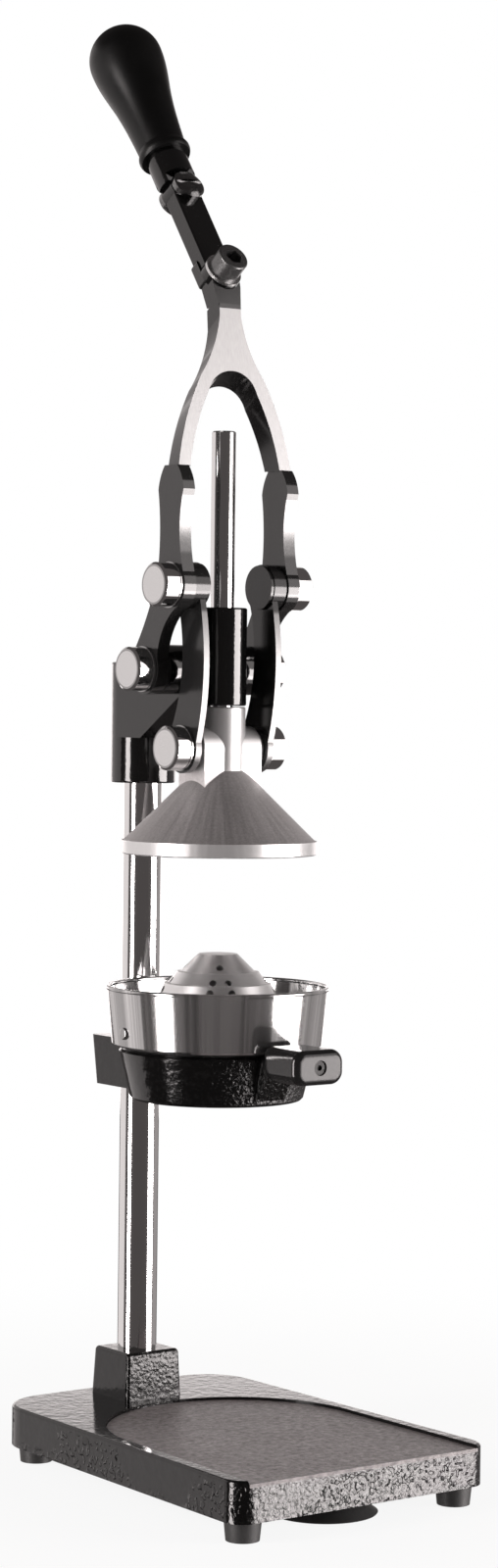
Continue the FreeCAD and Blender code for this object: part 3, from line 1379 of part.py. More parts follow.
def strainer_profile():
    """Section of the shell: outside down, under the flange, inside back up."""
    flank = strainer_flank()
    flange = CUP_FLOOR_RADIUS - CUP_WALL - STRAINER_EDGE_GAP
    across = STRAINER_WALL * 0.75
    down = STRAINER_WALL * 0.66
    inside = [(radius - across, z - down) for radius, z in flank[1:-1]]
    inside.reverse()
    profile = [(0, STRAINER_FLOOR + STRAINER_HEIGHT)] + flank
    profile += [(flange, STRAINER_FLOOR + STRAINER_WALL), (flange, STRAINER_FLOOR)]
    profile.append((STRAINER_FOOT_RADIUS - 1.2 * STRAINER_WALL, STRAINER_FLOOR))
    profile += inside
    profile.append((0, inside[-1][1]))
    return profile


def strainer_radius(height):
    """Outside radius of the cone at a height above the cup's floor."""
    z = STRAINER_FLOOR + height
    flank = strainer_flank()
    for (upper_radius, upper_z), (lower_radius, lower_z) in zip(flank, flank[1:]):
        if lower_z <= z <= upper_z:
            share = (upper_z - z) / (upper_z - lower_z)
            return upper_radius + (lower_radius - upper_radius) * share
    return STRAINER_FOOT_RADIUS


def strainer_holes():
    """Drain holes in groups of five: one high and two pairs below it."""
    drills = []
    for group in range(STRAINER_GROUPS):
        middle = STRAINER_TURN + group * 360.0 / STRAINER_GROUPS
        drills.append(strainer_drill(middle, STRAINER_TOP_HOLE))
        for sign in (-1, 1):
            spread = sign * STRAINER_PAIR_SPREAD
            drills.append(strainer_drill(middle + spread, STRAINER_MIDDLE_HOLES))
            drills.append(strainer_drill(middle + 1.2 * spread, STRAINER_LOW_HOLES))
    return Part.makeCompound(drills)


def strainer_drill(turn, height):
    """Short drill, square to the cone's flank."""
    angle = math.radians(turn)
    out = point(math.cos(angle), math.sin(angle), 0)
    centre = out * strainer_radius(height) + UP * (STRAINER_FLOOR + height)
    way = (out + UP) * math.sqrt(0.5)
    length = 3 * STRAINER_WALL
    return Part.makeCylinder(STRAINER_HOLE_RADIUS, 2 * length, centre - way * length, way)


def strainer_cone():
    return turned(strainer_profile()).cut(strainer_holes())


def solids():
    """Every sub-part by name."""
    parts = {
        "base_plate": base_plate(),
        "base_mat": mat(),
        "suction_cup": suction_cup(),
        "column": column(),
        "column_bolt": column_bolt(),
        "column_washer": column_washer(),
        "head_bracket": head_bracket(),
        "head_clamp_screw": clamp_screw(UPPER_SCREW_Z, COLUMN_OFFSET + SLEEVE_RADIUS),
        "head_set_screw": set_screw(),
        "lever_fork": lever_fork(),
        "lever_bar": lever_bar(),
        "lever_cap_screw": cap_screw(),
        "lever_washer": cap_washer(),
        "lever_stop_screw": stop_screw(),
        "lever_stop_nut": stop_nut(),
        "lever_grip": grip(),
        "press_cone": press_cone(),
        "guide_rod": guide_rod(),
        "cup_holder": cup_holder(),
        "holder_clamp_screw": holder_screw(),
        "front_handle": front_handle(),
        "front_handle_screw": handle_screw(),
        "juice_cup": juice_cup(),
        "cup_rivets": cup_rivets(),
        "strainer_cone": strainer_cone(),
    }
    screws = []
    for name, (x, y) in foot_centres().items():
        parts[name] = foot(x, y)
        screws.append(foot_screw(x, y))
    parts["foot_screws"] = Part.makeCompound(screws)
    pairs = {"link": link(), "fulcrum_pin": fulcrum_pin(), "crank_pin": crank_pin(),
             "press_pin": press_pin()}
    for name, shape in pairs.items():
        parts[name + "_right"] = shape
        parts[name + "_left"] = mirrored(shape)
    return parts


os.makedirs("parts", exist_ok=True)
for name, shape in solids().items():
    shape.exportStep(os.path.join("parts", name + ".step"))
    print(name, len(shape.Solids), "solids", round(shape.Volume), "mm3", shape.isValid())
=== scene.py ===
import math
import bpy
from mathutils import Matrix, Vector

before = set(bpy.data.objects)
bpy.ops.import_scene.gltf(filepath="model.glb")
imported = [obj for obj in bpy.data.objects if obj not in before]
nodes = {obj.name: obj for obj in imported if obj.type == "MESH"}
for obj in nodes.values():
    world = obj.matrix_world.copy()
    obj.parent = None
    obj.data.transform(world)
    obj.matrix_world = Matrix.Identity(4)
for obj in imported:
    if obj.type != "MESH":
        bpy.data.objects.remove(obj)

# Frame and camera
# The camera stands to the left of the front, level with the cup, with a long
# lens, so that the upright column stays upright. Metres, as in the frame.
scene = bpy.context.scene
CAMERA_PLACE = Vector((-1.00246, -1.37393, 0.39434))
CAMERA_TARGET = Vector((0.01791, 0.0, 0.34504))
CAMERA_ROLL = math.radians(0.69)
CAMERA_LENS = 78.8
CAMERA_SENSOR = 36.0


def aim(obj, place, target, roll=0.0):
    """Puts obj at place, looking at target, with its top turned by roll."""
    away = (place - target).normalized()
    right = Vector((0, 0, 1)).cross(away).normalized()
    up = away.cross(right)
    turned_right = right * math.cos(roll) + up * math.sin(roll)
    turned_up = up * math.cos(roll) - right * math.sin(roll)
    turn = Matrix((turned_right, turned_up, away)).transposed()
    obj.matrix_world = Matrix.Translation(place) @ turn.to_4x4()


camera_data = bpy.data.cameras.new("camera")
camera_data.lens = CAMERA_LENS
camera_data.sensor_width = CAMERA_SENSOR
camera_data.sensor_fit = "AUTO"
camera = bpy.data.objects.new("camera", camera_data)
scene.collection.objects.link(camera)
aim(camera, CAMERA_PLACE, CAMERA_TARGET, CAMERA_ROLL)
scene.camera = camera
scene.view_settings.view_transform = "Standard"

# Lights
# A dim room before a white backdrop. Strong, tall boxes to the left and the right
# give the bright bands on the round chrome, and weak ones the greys between them.
view_way = (CAMERA_PLACE - CAMERA_TARGET).to_2d().normalized()
LAMP_COLOUR = (1.0, 0.94, 0.93)
ROOM_COLOUR = (0.085, 0.076, 0.075, 1.0)
BACKDROP_COLOUR = (1.0, 1.0, 1.0, 1.0)
PRESS_MIDDLE = Vector((0.0, 0.0, 0.38))
TOP_BOX_RISE = Vector((0.0, 0.0, 1.7))


def around(angle):
    """Level direction, angle degrees to the picture's right of the camera."""
    turn = math.radians(angle)
    x = view_way.x * math.cos(turn) - view_way.y * math.sin(turn)
    y = view_way.x * math.sin(turn) + view_way.y * math.cos(turn)
    return Vector((x, y, 0.0))


def soft_box(name, place, target, width, height, radiance):
    """Rectangular soft box that faces the target and hides from the camera."""
    data = bpy.data.lights.new(name, "AREA")
    data.shape = "RECTANGLE"
    data.size = width
    data.size_y = height
    data.color = LAMP_COLOUR
    data.energy = radiance * math.pi * width * height
    box = bpy.data.objects.new(name, data)
    scene.collection.objects.link(box)
    aim(box, place, target)
    box.visible_camera = False


def wall_box(name, angle, away, width, low, high, radiance):
    """Upright soft box at an angle, between two heights."""
    level = Vector((0.0, 0.0, (low + high) / 2))
    soft_box(name, around(angle) * away + level, level, width, high - low, radiance)


wall_box("box_left", angle=-57, away=1.6, width=0.48, low=-0.64, high=1.20, radiance=13.0)
wall_box("box_right", angle=79, away=1.6, width=1.0, low=-0.22, high=0.55, radiance=13.0)
wall_box("box_right_foot", angle=73, away=1.6, width=0.56, low=-0.62, high=-0.22, radiance=17.0)
wall_box("box_right_high", angle=79, away=1.6, width=1.0, low=0.55, high=1.50, radiance=1.8)
wall_box("box_right_low", angle=86, away=1.6, width=0.8, low=-1.30, high=-0.22, radiance=1.3)
wall_box("box_right_back", angle=128, away=1.8, width=1.6, low=-0.60, high=1.40, radiance=0.28)
wall_box("box_left_back", angle=-118, away=1.8, width=2.2, low=-0.60, high=1.60, radiance=0.80)
wall_box("box_back", angle=180, away=2.2, width=3.0, low=-0.10, high=0.50, radiance=1.8)
wall_box("box_back_high", angle=180, away=2.2, width=3.0, low=0.50, high=1.50, radiance=0.5)
soft_box("box_top", PRESS_MIDDLE + TOP_BOX_RISE, PRESS_MIDDLE, width=1.6, height=1.6, radiance=0.25)

world = bpy.data.worlds.new("dim_room")
scene.world = world
world.use_nodes = True
sky = world.node_tree
sky.nodes.clear()
ray = sky.nodes.new("ShaderNodeLightPath")
room = sky.nodes.new("ShaderNodeBackground")
room.inputs["Color"].default_value = ROOM_COLOUR
backdrop = sky.nodes.new("ShaderNodeBackground")
backdrop.inputs["Color"].default_value = BACKDROP_COLOUR
either = sky.nodes.new("ShaderNodeMixShader")
sky_out = sky.nodes.new("ShaderNodeOutputWorld")
sky.links.new(ray.outputs["Is Camera Ray"], either.inputs["Fac"])
sky.links.new(room.outputs["Background"], either.inputs[1])
sky.links.new(backdrop.outputs["Background"], either.inputs[2])
sky.links.new(either.outputs["Shader"], sky_out.inputs["Surface"])

# Floor
# Pale and without a visible edge; the object's faint shade is all that it shows.
# Patterns work in millimetres, from object coordinates, here and on the press.
FLOOR_SIDE = 6.0
SHADE_START = 150.0
SHADE_END = 600.0
GLOW_BY_PRESS = 0.9


def add(tree, kind, **settings):
    """New node with its settings."""
    made = tree.nodes.new(kind)
    for name, value in settings.items():
        setattr(made, name, value)
    return made


def feed(tree, socket, value):
    """Joins an output to a socket, or sets the socket to a constant."""
    if isinstance(value, bpy.types.NodeSocket):
        tree.links.new(value, socket)
    else:
        socket.default_value = value


def sums(tree, operation, *values):
    """Math node on its values; returns its output."""
    made = add(tree, "ShaderNodeMath", operation=operation)
    for socket, value in zip(made.inputs, values):
        feed(tree, socket, value)
    return made.outputs[0]


def both(tree, first, second):
    """Product of two values, or the place where both masks hold."""
    return sums(tree, "MULTIPLY", first, second)


def distance(tree, across, along):
    """Straight distance from its two parts, which are square to each other."""
    return sums(tree, "SQRT", sums(
        tree, "ADD", both(tree, across, across), both(tree, along, along)))


def noise(tree, where, scale, detail=2.0, roughness=0.5):
    """Noise value; scale is in cells per millimetre."""
    made = add(tree, "ShaderNodeTexNoise")
    feed(tree, made.inputs["Vector"], where)
    made.inputs["Scale"].default_value = scale
    made.inputs["Detail"].default_value = detail
    made.inputs["Roughness"].default_value = roughness
    return made.outputs["Fac"]


def rise(tree, value, low, high, start=0.0, end=1.0):
    """Smooth step from start, where the value is low, to end, where it is high."""
    made = add(tree, "ShaderNodeMapRange", interpolation_type="SMOOTHSTEP")
    feed(tree, made.inputs["Value"], value)
    made.inputs["From Min"].default_value = low
    made.inputs["From Max"].default_value = high
    made.inputs["To Min"].default_value = start
    made.inputs["To Max"].default_value = end
    return made.outputs["Result"]


def blend(tree, share, first, second):
    """Colour mixed from first to second."""
    made = add(tree, "ShaderNodeMix", data_type="RGBA")
    feed(tree, made.inputs["Factor"], share)
    feed(tree, made.inputs[6], first)
    feed(tree, made.inputs[7], second)
    return made.outputs[2]


def grey(value, warmth=0.0):
    """Grey colour; warmth is the share by which its red is stronger."""
    return (value * (1 + warmth), value, value, 1.0)


def split(tree, vector):
    """The three parts of a vector."""
    made = add(tree, "ShaderNodeSeparateXYZ")
    tree.links.new(vector, made.inputs[0])
    return made.outputs


def surface(name):
    """New material; returns it, its tree, its shader and millimetres on its piece."""
    material = bpy.data.materials.new(name)
    material.use_nodes = True
    tree = material.node_tree
    metres = add(tree, "ShaderNodeTexCoord").outputs["Object"]
    millimetres = add(tree, "ShaderNodeVectorMath", operation="SCALE")
    tree.links.new(metres, millimetres.inputs[0])
    millimetres.inputs["Scale"].default_value = 1000.0
    return material, tree, tree.nodes["Principled BSDF"], millimetres.outputs[0]


def paint(tree, shader, share, first, second):
    """Base colour that goes from first to second with a mask."""
    feed(tree, shader.inputs["Base Color"], blend(tree, share, first, second))


bpy.ops.object.select_all(action="DESELECT")
bpy.ops.mesh.primitive_plane_add(size=FLOOR_SIDE)
floor = bpy.context.object
floor.name = "floor"
floor.visible_glossy = False
floor.visible_shadow = False

pale, tree, shader, where = surface("pale_floor")
paint(tree, shader, noise(tree, where, scale=0.01), grey(0.93), grey(0.96))
shader.inputs["Roughness"].default_value = 0.9
x, y, z = split(tree, where)
seen = add(tree, "ShaderNodeLightPath").outputs["Is Camera Ray"]
glow = add(tree, "ShaderNodeEmission")
share = add(tree, "ShaderNodeMixShader")
feed(tree, share.inputs["Fac"], both(tree, seen, rise(
    tree, distance(tree, x, y), SHADE_START, SHADE_END, start=GLOW_BY_PRESS)))
tree.links.new(shader.outputs["BSDF"], share.inputs[1])
tree.links.new(glow.outputs["Emission"], share.inputs[2])
tree.links.new(share.outputs["Shader"], tree.nodes["Material Output"].inputs["Surface"])
floor.data.materials.append(pale)

# Base casting and cup holder
# Glossy black enamel on cast iron. It lies smooth on the top and the sides, with
# a few pimples low down, and it is thick and crumbly on all that faces forward.
ENAMEL_LUMP = 2.0
ENAMEL_RELIEF = 0.30
CRUMBS_ON_SIDES = 0.07
RING_LOW = 150.0
RING_BLUR = 4.0
RING_FRONT_COARSENESS = 2.2
RING_SIDE_COARSENESS = 0.4
PIMPLE_HEIGHT = 3.2
PIMPLES_END = 28.0
PIMPLES_BLUR = 4.0
ORANGE_PEEL = 0.5
NOISE_LOW = 0.3
NOISE_HIGH = 0.7
LUMP_WOBBLE = (1.1, 1.1, 1.1)
SCRATCH_STRETCH = (0.9, 0.12, 1.3)


def scaled_plus(tree, value, scale, extra):
    """The value times scale, plus extra."""
    return sums(tree, "MULTIPLY_ADD", value, scale, extra)


def fall(tree, value, low, high):
    """Smooth step from one, where the value is low, to nothing, where it is high."""
    return rise(tree, value, low, high, start=1.0, end=0.0)


def new_group(name, inputs, outputs):
    """Empty shader group; returns its tree, its inputs and its outputs by name."""
    tree = bpy.data.node_groups.new(name, "ShaderNodeTree")
    for label, kind, value in inputs:
        socket = tree.interface.new_socket(label, in_out="INPUT", socket_type=kind)
        if value is not None:
            socket.default_value = value
    for label in outputs:
        tree.interface.new_socket(label, in_out="OUTPUT", socket_type="NodeSocketFloat")
    start = add(tree, "NodeGroupInput")
    end = add(tree, "NodeGroupOutput")
    return tree, start.outputs, end.inputs


def use_group(tree, group, **values):
    """Places a group with its values; returns its outputs."""
    made = add(tree, "ShaderNodeGroup", node_tree=group)
    for name, value in values.items():
        feed(tree, made.inputs[name], value)
    return made.outputs


def hammered_group():
    """Hammered enamel: pooled lumps with narrow, bright furrows between them."""
    tree, given, out = new_group(
        "hammered", [("Where", "NodeSocketVector", None), ("Size", "NodeSocketFloat", 3.0)],
        ["Height", "Furrow"])
    size = add(tree, "ShaderNodeCombineXYZ")
    for socket in size.inputs:
        tree.links.new(given["Size"], socket)
    sized = add(tree, "ShaderNodeVectorMath", operation="DIVIDE")
    tree.links.new(given["Where"], sized.inputs[0])
    tree.links.new(size.outputs[0], sized.inputs[1])
    wobble = add(tree, "ShaderNodeTexNoise")
    tree.links.new(sized.outputs[0], wobble.inputs["Vector"])
    wobble.inputs["Scale"].default_value = 0.9
    shifted = add(tree, "ShaderNodeVectorMath", operation="MULTIPLY_ADD")
    tree.links.new(wobble.outputs["Color"], shifted.inputs[0])
    shifted.inputs[1].default_value = LUMP_WOBBLE
    tree.links.new(sized.outputs[0], shifted.inputs[2])
    cells = add(tree, "ShaderNodeTexVoronoi", feature="SMOOTH_F1")
    cells.inputs["Smoothness"].default_value = 0.75
    cells.inputs["Scale"].default_value = 1.0
    tree.links.new(shifted.outputs[0], cells.inputs["Vector"])
    lumps = sums(tree, "SUBTRACT", 1.0, cells.outputs["Distance"])
    fine = noise(tree, shifted.outputs[0], scale=2.6, detail=3.0, roughness=0.6)
    height = scaled_plus(tree, fine, scale=0.45, extra=lumps)
    tree.links.new(height, out["Height"])
    tree.links.new(fall(tree, height, low=0.55, high=0.75), out["Furrow"])
    return tree


def handling_group():
    """Slow blotches, fine grain and sparse scratches, as three masks."""
    tree, given, out = new_group(
        "handling", [("Where", "NodeSocketVector", None)], ["Blotch", "Grain", "Scratch"])
    place = given["Where"]
    tree.links.new(noise(tree, place, scale=0.035, detail=3.0, roughness=0.6), out["Blotch"])
    tree.links.new(noise(tree, place, scale=1.7, detail=4.0, roughness=0.65), out["Grain"])
    stretch = add(tree, "ShaderNodeVectorMath", operation="MULTIPLY")
    tree.links.new(place, stretch.inputs[0])
    stretch.inputs[1].default_value = SCRATCH_STRETCH
    lines = noise(tree, stretch.outputs[0], scale=1.1)
    tree.links.new(rise(tree, lines, low=0.70, high=0.76), out["Scratch"])
    return tree


HAMMERED = hammered_group()
HANDLING = handling_group()


def handled(name):
    """New material as surface gives it, with the handling masks as a fifth thing."""
    material, tree, shader, where = surface(name)
    return material, tree, shader, where, use_group(tree, HANDLING, Where=where)


def facing(tree):
    """The three parts of the surface's own direction, in the object's axes."""
    return split(tree, add(tree, "ShaderNodeTexCoord").outputs["Normal"])


def spread(tree, pattern, start, end):
    """A noise's usual range, stretched to go from start to end."""
    return rise(tree, pattern, NOISE_LOW, NOISE_HIGH, start, end)


def roughen(tree, shader, value):
    """Sets the roughness."""
    feed(tree, shader.inputs["Roughness"], value)


def bump(tree, shader, height, relief):
    """Feeds the shader's normal from a height; relief is in millimetres."""
    made = add(tree, "ShaderNodeBump")
    feed(tree, made.inputs["Height"], height)
    made.inputs["Distance"].default_value = relief / 1000.0
    made.inputs["Strength"].default_value = 1.0
    tree.links.new(made.outputs["Normal"], shader.inputs["Normal"])


def dress(material, *names):
    """Gives a material to CAD nodes."""
    for name in names:
        slots = nodes[name].data.materials
        slots.clear()
        slots.append(material)


enamel, tree, shader, where, marks = handled("hammered_enamel")
coat = use_group(tree, HAMMERED, Where=where, Size=ENAMEL_LUMP)
paint(tree, shader, coat["Furrow"], grey(0.001), grey(0.003))
roughen(tree, shader, spread(tree, marks["Grain"], 0.07, 0.12))
forward = facing(tree)[1]
height = split(tree, where)[2]
on_ring = rise(tree, height, RING_LOW - RING_BLUR, RING_LOW)
ring_extra = rise(tree, forward, low=-0.92, high=-0.62,
                  start=RING_FRONT_COARSENESS - 1.0, end=RING_SIDE_COARSENESS - 1.0)
coarseness = scaled_plus(tree, on_ring, ring_extra, 1.0)
crumbly = both(tree, coarseness, rise(
    tree, forward, low=-0.85, high=-0.4, start=1.0, end=CRUMBS_ON_SIDES))
low_down = fall(tree, height, PIMPLES_END - PIMPLES_BLUR, PIMPLES_END)
pimple_spots = rise(tree, noise(tree, where, scale=0.42, detail=0.0), low=0.57, high=0.66)
pimple_patches = rise(tree, noise(tree, where, scale=0.03, detail=0.0), low=0.44, high=0.56)
pimples = both(tree, pimple_spots, both(tree, low_down, pimple_patches))
peel = both(tree, noise(tree, where, scale=0.22, detail=3.0), ORANGE_PEEL)
crumbs = scaled_plus(tree, coat["Height"], crumbly, peel)
bump(tree, shader, scaled_plus(tree, pimples, PIMPLE_HEIGHT, crumbs), ENAMEL_RELIEF)
dress(enamel, "base_plate", "cup_holder")

# Base mat
# Dark rubber sheet with a fine leather-like grain, rubbed paler in blotches, and
# laid a little unevenly in the base's pocket.
MAT_WARMTH = 0.12
MAT_DENTS = 14.0
rubber_mat, tree, shader, where, marks = handled("mat_rubber")
leather = noise(tree, where, scale=0.28, detail=5.0, roughness=0.8)
rubbed = scaled_plus(tree, marks["Blotch"], scale=0.4, extra=spread(tree, leather, -0.1, 0.7))
paint(tree, shader, rubbed, grey(0.06, MAT_WARMTH), grey(0.23, MAT_WARMTH))
roughen(tree, shader, spread(tree, leather, 0.52, 0.38))
dents = noise(tree, where, scale=0.03)
grain = noise(tree, where, scale=2.2, detail=4.0, roughness=0.7)
bump(tree, shader, scaled_plus(tree, dents, MAT_DENTS, grain), relief=0.08)
dress(rubber_mat, "base_mat")

# Feet and suction cup
# Four conical feet, screwed under the base, and the suction cup between the front
# ones. All are moulded in matte black rubber and have gathered a little dust.
rubber, tree, shader, where, marks = handled("foot_rubber")
paint(tree, shader, marks["Grain"], grey(0.012), grey(0.035))
roughen(tree, shader, spread(tree, marks["Blotch"], 0.45, 0.62))
bump(tree, shader, marks["Grain"], relief=0.05)
dress(rubber, "foot_front_left", "foot_front_right", "foot_rear_left", "foot_rear_right",
      "suction_cup")

# Column and guide rod
# The column carries the head and the holder, and the rod guides the bell. Both
# are ground steel bars with bright chrome, hazed here and there by handling.
chrome, tree, shader, where, marks = handled("chrome")
paint(tree, shader, marks["Blotch"], grey(0.74), grey(0.82))
shader.inputs["Metallic"].default_value = 1.0
roughen(tree, shader, rise(tree, marks["Scratch"], low=0.0, high=1.0, start=0.09, end=0.14))
bump(tree, shader, marks["Blotch"], relief=0.003)
dress(chrome, "column", "guide_rod")

# Pins
# Chrome as well; each head has fine turning rings, and a painted shade darkens the rim of its face.
# A pin's middle and head come from its own box in the frame.
PIN_RIM = 0.77
RIM_BLUR = 0.25
RINGS_PER_MM = 2.4


def box_of(name):
    """Lowest and highest corner of a node, in millimetres."""
    spots = [vertex.co * 1000.0 for vertex in nodes[name].data.vertices]
    low = Vector([min(spot[axis] for spot in spots) for axis in range(3)])
    high = Vector([max(spot[axis] for spot in spots) for axis in range(3)])
    return low, high


def from_axis(tree, where, middle):
    """Distance from the sideways axis through a middle."""
    x, y, z = split(tree, where)
    return distance(tree, sums(tree, "SUBTRACT", y, middle.y), sums(tree, "SUBTRACT", z, middle.z))


def sideways(tree):
    """How far the surface faces left or right: one is square to the side."""
    return sums(tree, "ABSOLUTE", facing(tree)[0])


def polished_pin(pin):
    """Chrome for one pair of pins, with the rings and the rim about its own axis."""
    low, high = box_of(pin + "_left")
    rim_radius = (high.z - low.z) / 2 * PIN_RIM
    pin_metal, tree, shader, where, marks = handled(pin + "_chrome")
    flat = rise(tree, sideways(tree), low=0.9, high=0.98)
    radius = from_axis(tree, where, (low + high) / 2)
    ring = add(tree, "ShaderNodeCombineXYZ")
    tree.links.new(both(tree, radius, RINGS_PER_MM), ring.inputs[0])
    rings = noise(tree, ring.outputs[0], scale=1.0, detail=3.0, roughness=0.7)
    turned = both(tree, flat, rings)
    # Painted shade: the rim of each head's face is painted darker, for the rim's shading.
    painted_rim_shade = both(tree, flat, rise(tree, radius, rim_radius, rim_radius + RIM_BLUR))
    paint(tree, shader, painted_rim_shade, blend(tree, turned, grey(0.82), grey(0.52)), grey(0.36))
    shader.inputs["Metallic"].default_value = 1.0
    scratched = rise(tree, marks["Scratch"], low=0.0, high=1.0, start=0.05, end=0.14)
    roughen(tree, shader, scaled_plus(tree, flat, scale=0.2, extra=scratched))
    bump(tree, shader, turned, relief=0.02)
    return pin_metal


for pin in ("crank_pin", "fulcrum_pin", "press_pin"):
    dress(polished_pin(pin), pin + "_left", pin + "_right")

# Screws, bolt and washers
# Bought hardware of the feet, the column, the clamps and the lever. It is zinc
# plated steel, greyer and softer than the chrome.


def grained(name, darkest, palest, metallic, smoothest, roughest, relief):
    """Material whose fine grain sets its grey, its roughness and its relief."""
    material, tree, shader, where, marks = handled(name)
    paint(tree, shader, marks["Grain"], grey(darkest), grey(palest))
    shader.inputs["Metallic"].default_value = metallic
    roughen(tree, shader, spread(tree, marks["Grain"], smoothest, roughest))
    bump(tree, shader, marks["Grain"], relief)
    return material


zinc = grained("zinc_steel", darkest=0.5, palest=0.66, metallic=1.0,
               smoothest=0.2, roughest=0.36, relief=0.02)
dress(zinc, "foot_screws", "column_bolt", "column_washer", "head_clamp_screw",
      "head_set_screw", "holder_clamp_screw", "lever_washer")

# Stop screw and its nut
# Thick slotted screw through the upper bar, with a round nut behind. The plating
# is darker, worn to bright steel in spots, so that only the rims catch the light.
dark_plate, tree, shader, where, marks = handled("dark_plate")
paint(tree, shader, rise(tree, marks["Grain"], low=0.5, high=0.7), grey(0.16), grey(0.4))
shader.inputs["Metallic"].default_value = 1.0
roughen(tree, shader, spread(tree, marks["Grain"], 0.1, 0.2))
bump(tree, shader, marks["Grain"], relief=0.01)
dress(dark_plate, "lever_stop_screw", "lever_stop_nut")

# Cap screw
# Socket head screw that clamps the upper bar on the fork. It is blackened steel,
# rubbed to grey metal in its grain.
black_oxide = grained("black_oxide", darkest=0.06, palest=0.2, metallic=0.85,
                      smoothest=0.26, roughest=0.42, relief=0.03)
dress(black_oxide, "lever_cap_screw")

# Handle screw
# Goes through the front handle into the holder's neck. It is blackened as well, but dull,
# and its grey is painted darker still, as painted shade for the handle's recess.
# Painted shade: its darkest and palest greys are set low for the shade in the recess.
shaded_black_steel = grained("black_steel_painted_shade", darkest=0.01, palest=0.03, metallic=0.6,
                     smoothest=0.4, roughest=0.6, relief=0.03)
dress(shaded_black_steel, "front_handle_screw")

# Head bracket and upper bar
# The bracket is a casting and the bar is flat steel. Both have a smooth black
# gloss paint with slight orange peel.
PAINT_SPECULAR = 0.7
gloss, tree, shader, where, marks = handled("black_gloss")
paint(tree, shader, marks["Blotch"], grey(0.001), grey(0.003))
roughen(tree, shader, spread(tree, marks["Grain"], 0.07, 0.13))
shader.inputs["Specular IOR Level"].default_value = PAINT_SPECULAR
bump(tree, shader, noise(tree, where, scale=0.55), relief=0.05)
dress(gloss, "head_bracket", "lever_bar")

# Lever fork
# Black paint; the sloping front of the wishbone is ground bright with long
# marks, the strip below the shoulder is satin and the crank's eyes are polished.
FORK_GROUND_LOW = 501.4
FORK_GROUND_HIGH = 580.0
FORK_SATIN_LOW = 460.0
FORK_SATIN_HIGH = 487.0
FORK_EYE_RADIUS = 12.0
FORK_EYE_BLUR = 0.4
FORK_MARKS = (3.2, 1.0, 0.25)
FORK_PAINT_ROUGHNESS = 0.12


def between(tree, value, low, high, low_blur, high_blur):
    """Mask of the values between low and high, with a soft edge at either end."""
    return both(tree, rise(tree, value, low - low_blur, low),
                fall(tree, value, high - high_blur, high))


crank_low, crank_high = box_of("crank_pin_left")
crank_middle = (crank_low + crank_high) / 2
fork_paint, tree, shader, where, marks = handled("fork_paint")
height = split(tree, where)[2]
forward = facing(tree)[1]
ground = both(tree, fall(tree, forward, low=-0.9, high=-0.8), between(
    tree, height, FORK_GROUND_LOW, FORK_GROUND_HIGH, low_blur=0.4, high_blur=0.3))
edge = fall(tree, sideways(tree), low=0.15, high=0.3)
satin = both(tree, edge, both(tree, fall(tree, forward, low=-0.5, high=-0.2), between(
    tree, height, FORK_SATIN_LOW, FORK_SATIN_HIGH, low_blur=3.0, high_blur=1.0)))
eye = both(tree, edge, fall(
    tree, from_axis(tree, where, crank_middle), FORK_EYE_RADIUS, FORK_EYE_RADIUS + FORK_EYE_BLUR))
bare = sums(tree, "MAXIMUM", ground, sums(tree, "MAXIMUM", satin, eye))
grind = add(tree, "ShaderNodeVectorMath", operation="MULTIPLY")
tree.links.new(where, grind.inputs[0])
grind.inputs[1].default_value = FORK_MARKS
lines = noise(tree, grind.outputs[0], scale=1.0, detail=4.0, roughness=0.7)
satin_metal = blend(tree, marks["Grain"], grey(0.06), grey(0.2))
ground_metal = blend(tree, lines, grey(0.26), grey(0.46))
metal = blend(tree, ground, blend(tree, eye, satin_metal, grey(0.6)), ground_metal)
paint(tree, shader, bare, grey(0.01), metal)
feed(tree, shader.inputs["Metallic"], bare)
eye_rough = scaled_plus(tree, eye, scale=-0.05, extra=FORK_PAINT_ROUGHNESS)
satin_rough = scaled_plus(tree, satin, scale=0.12, extra=eye_rough)
roughen(tree, shader, scaled_plus(tree, ground, scale=0.34, extra=satin_rough))
shader.inputs["Specular IOR Level"].default_value = PAINT_SPECULAR
bump(tree, shader, both(tree, lines, sums(tree, "MAXIMUM", ground, satin)), relief=0.03)
dress(fork_paint, "lever_fork")

# Links
# Two curved plates that join the fork to the bell. Their faces are painted black,
# and the narrow front edge is ground bright between them, up to the crank's eye.
LINK_EYE_RADIUS = 11.0
LINK_EYE_BLUR = 3.0
LINK_PAINT_ROUGHNESS = 0.13
eye_foot = crank_middle.z - LINK_EYE_RADIUS
link_paint, tree, shader, where, marks = handled("link_paint")
below_eye = fall(tree, split(tree, where)[2], eye_foot - LINK_EYE_BLUR, eye_foot)
front_edge = both(tree, fall(tree, facing(tree)[1], low=-0.5, high=-0.2),
                  fall(tree, sideways(tree), low=0.25, high=0.45))
bare = both(tree, below_eye, front_edge)
paint(tree, shader, bare, grey(0.01), blend(tree, marks["Grain"], grey(0.12), grey(0.26)))
feed(tree, shader.inputs["Metallic"], bare)
roughen(tree, shader, scaled_plus(tree, bare, scale=0.27, extra=LINK_PAINT_ROUGHNESS))
bump(tree, shader, marks["Grain"], relief=0.02)
dress(link_paint, "link_left", "link_right")

# Bell
# Cast and turned aluminium: satin, mottled flanks with faint streaks down the
# slope, and a brighter machined rim and neck.
RIM_TOP = 317.6
RIM_EDGE = 0.6
NECK_FOOT = 351.0
NECK_EDGE = 2.0
STREAKS_PER_RADIAN = 22.0
STREAK_WANDER = 0.02


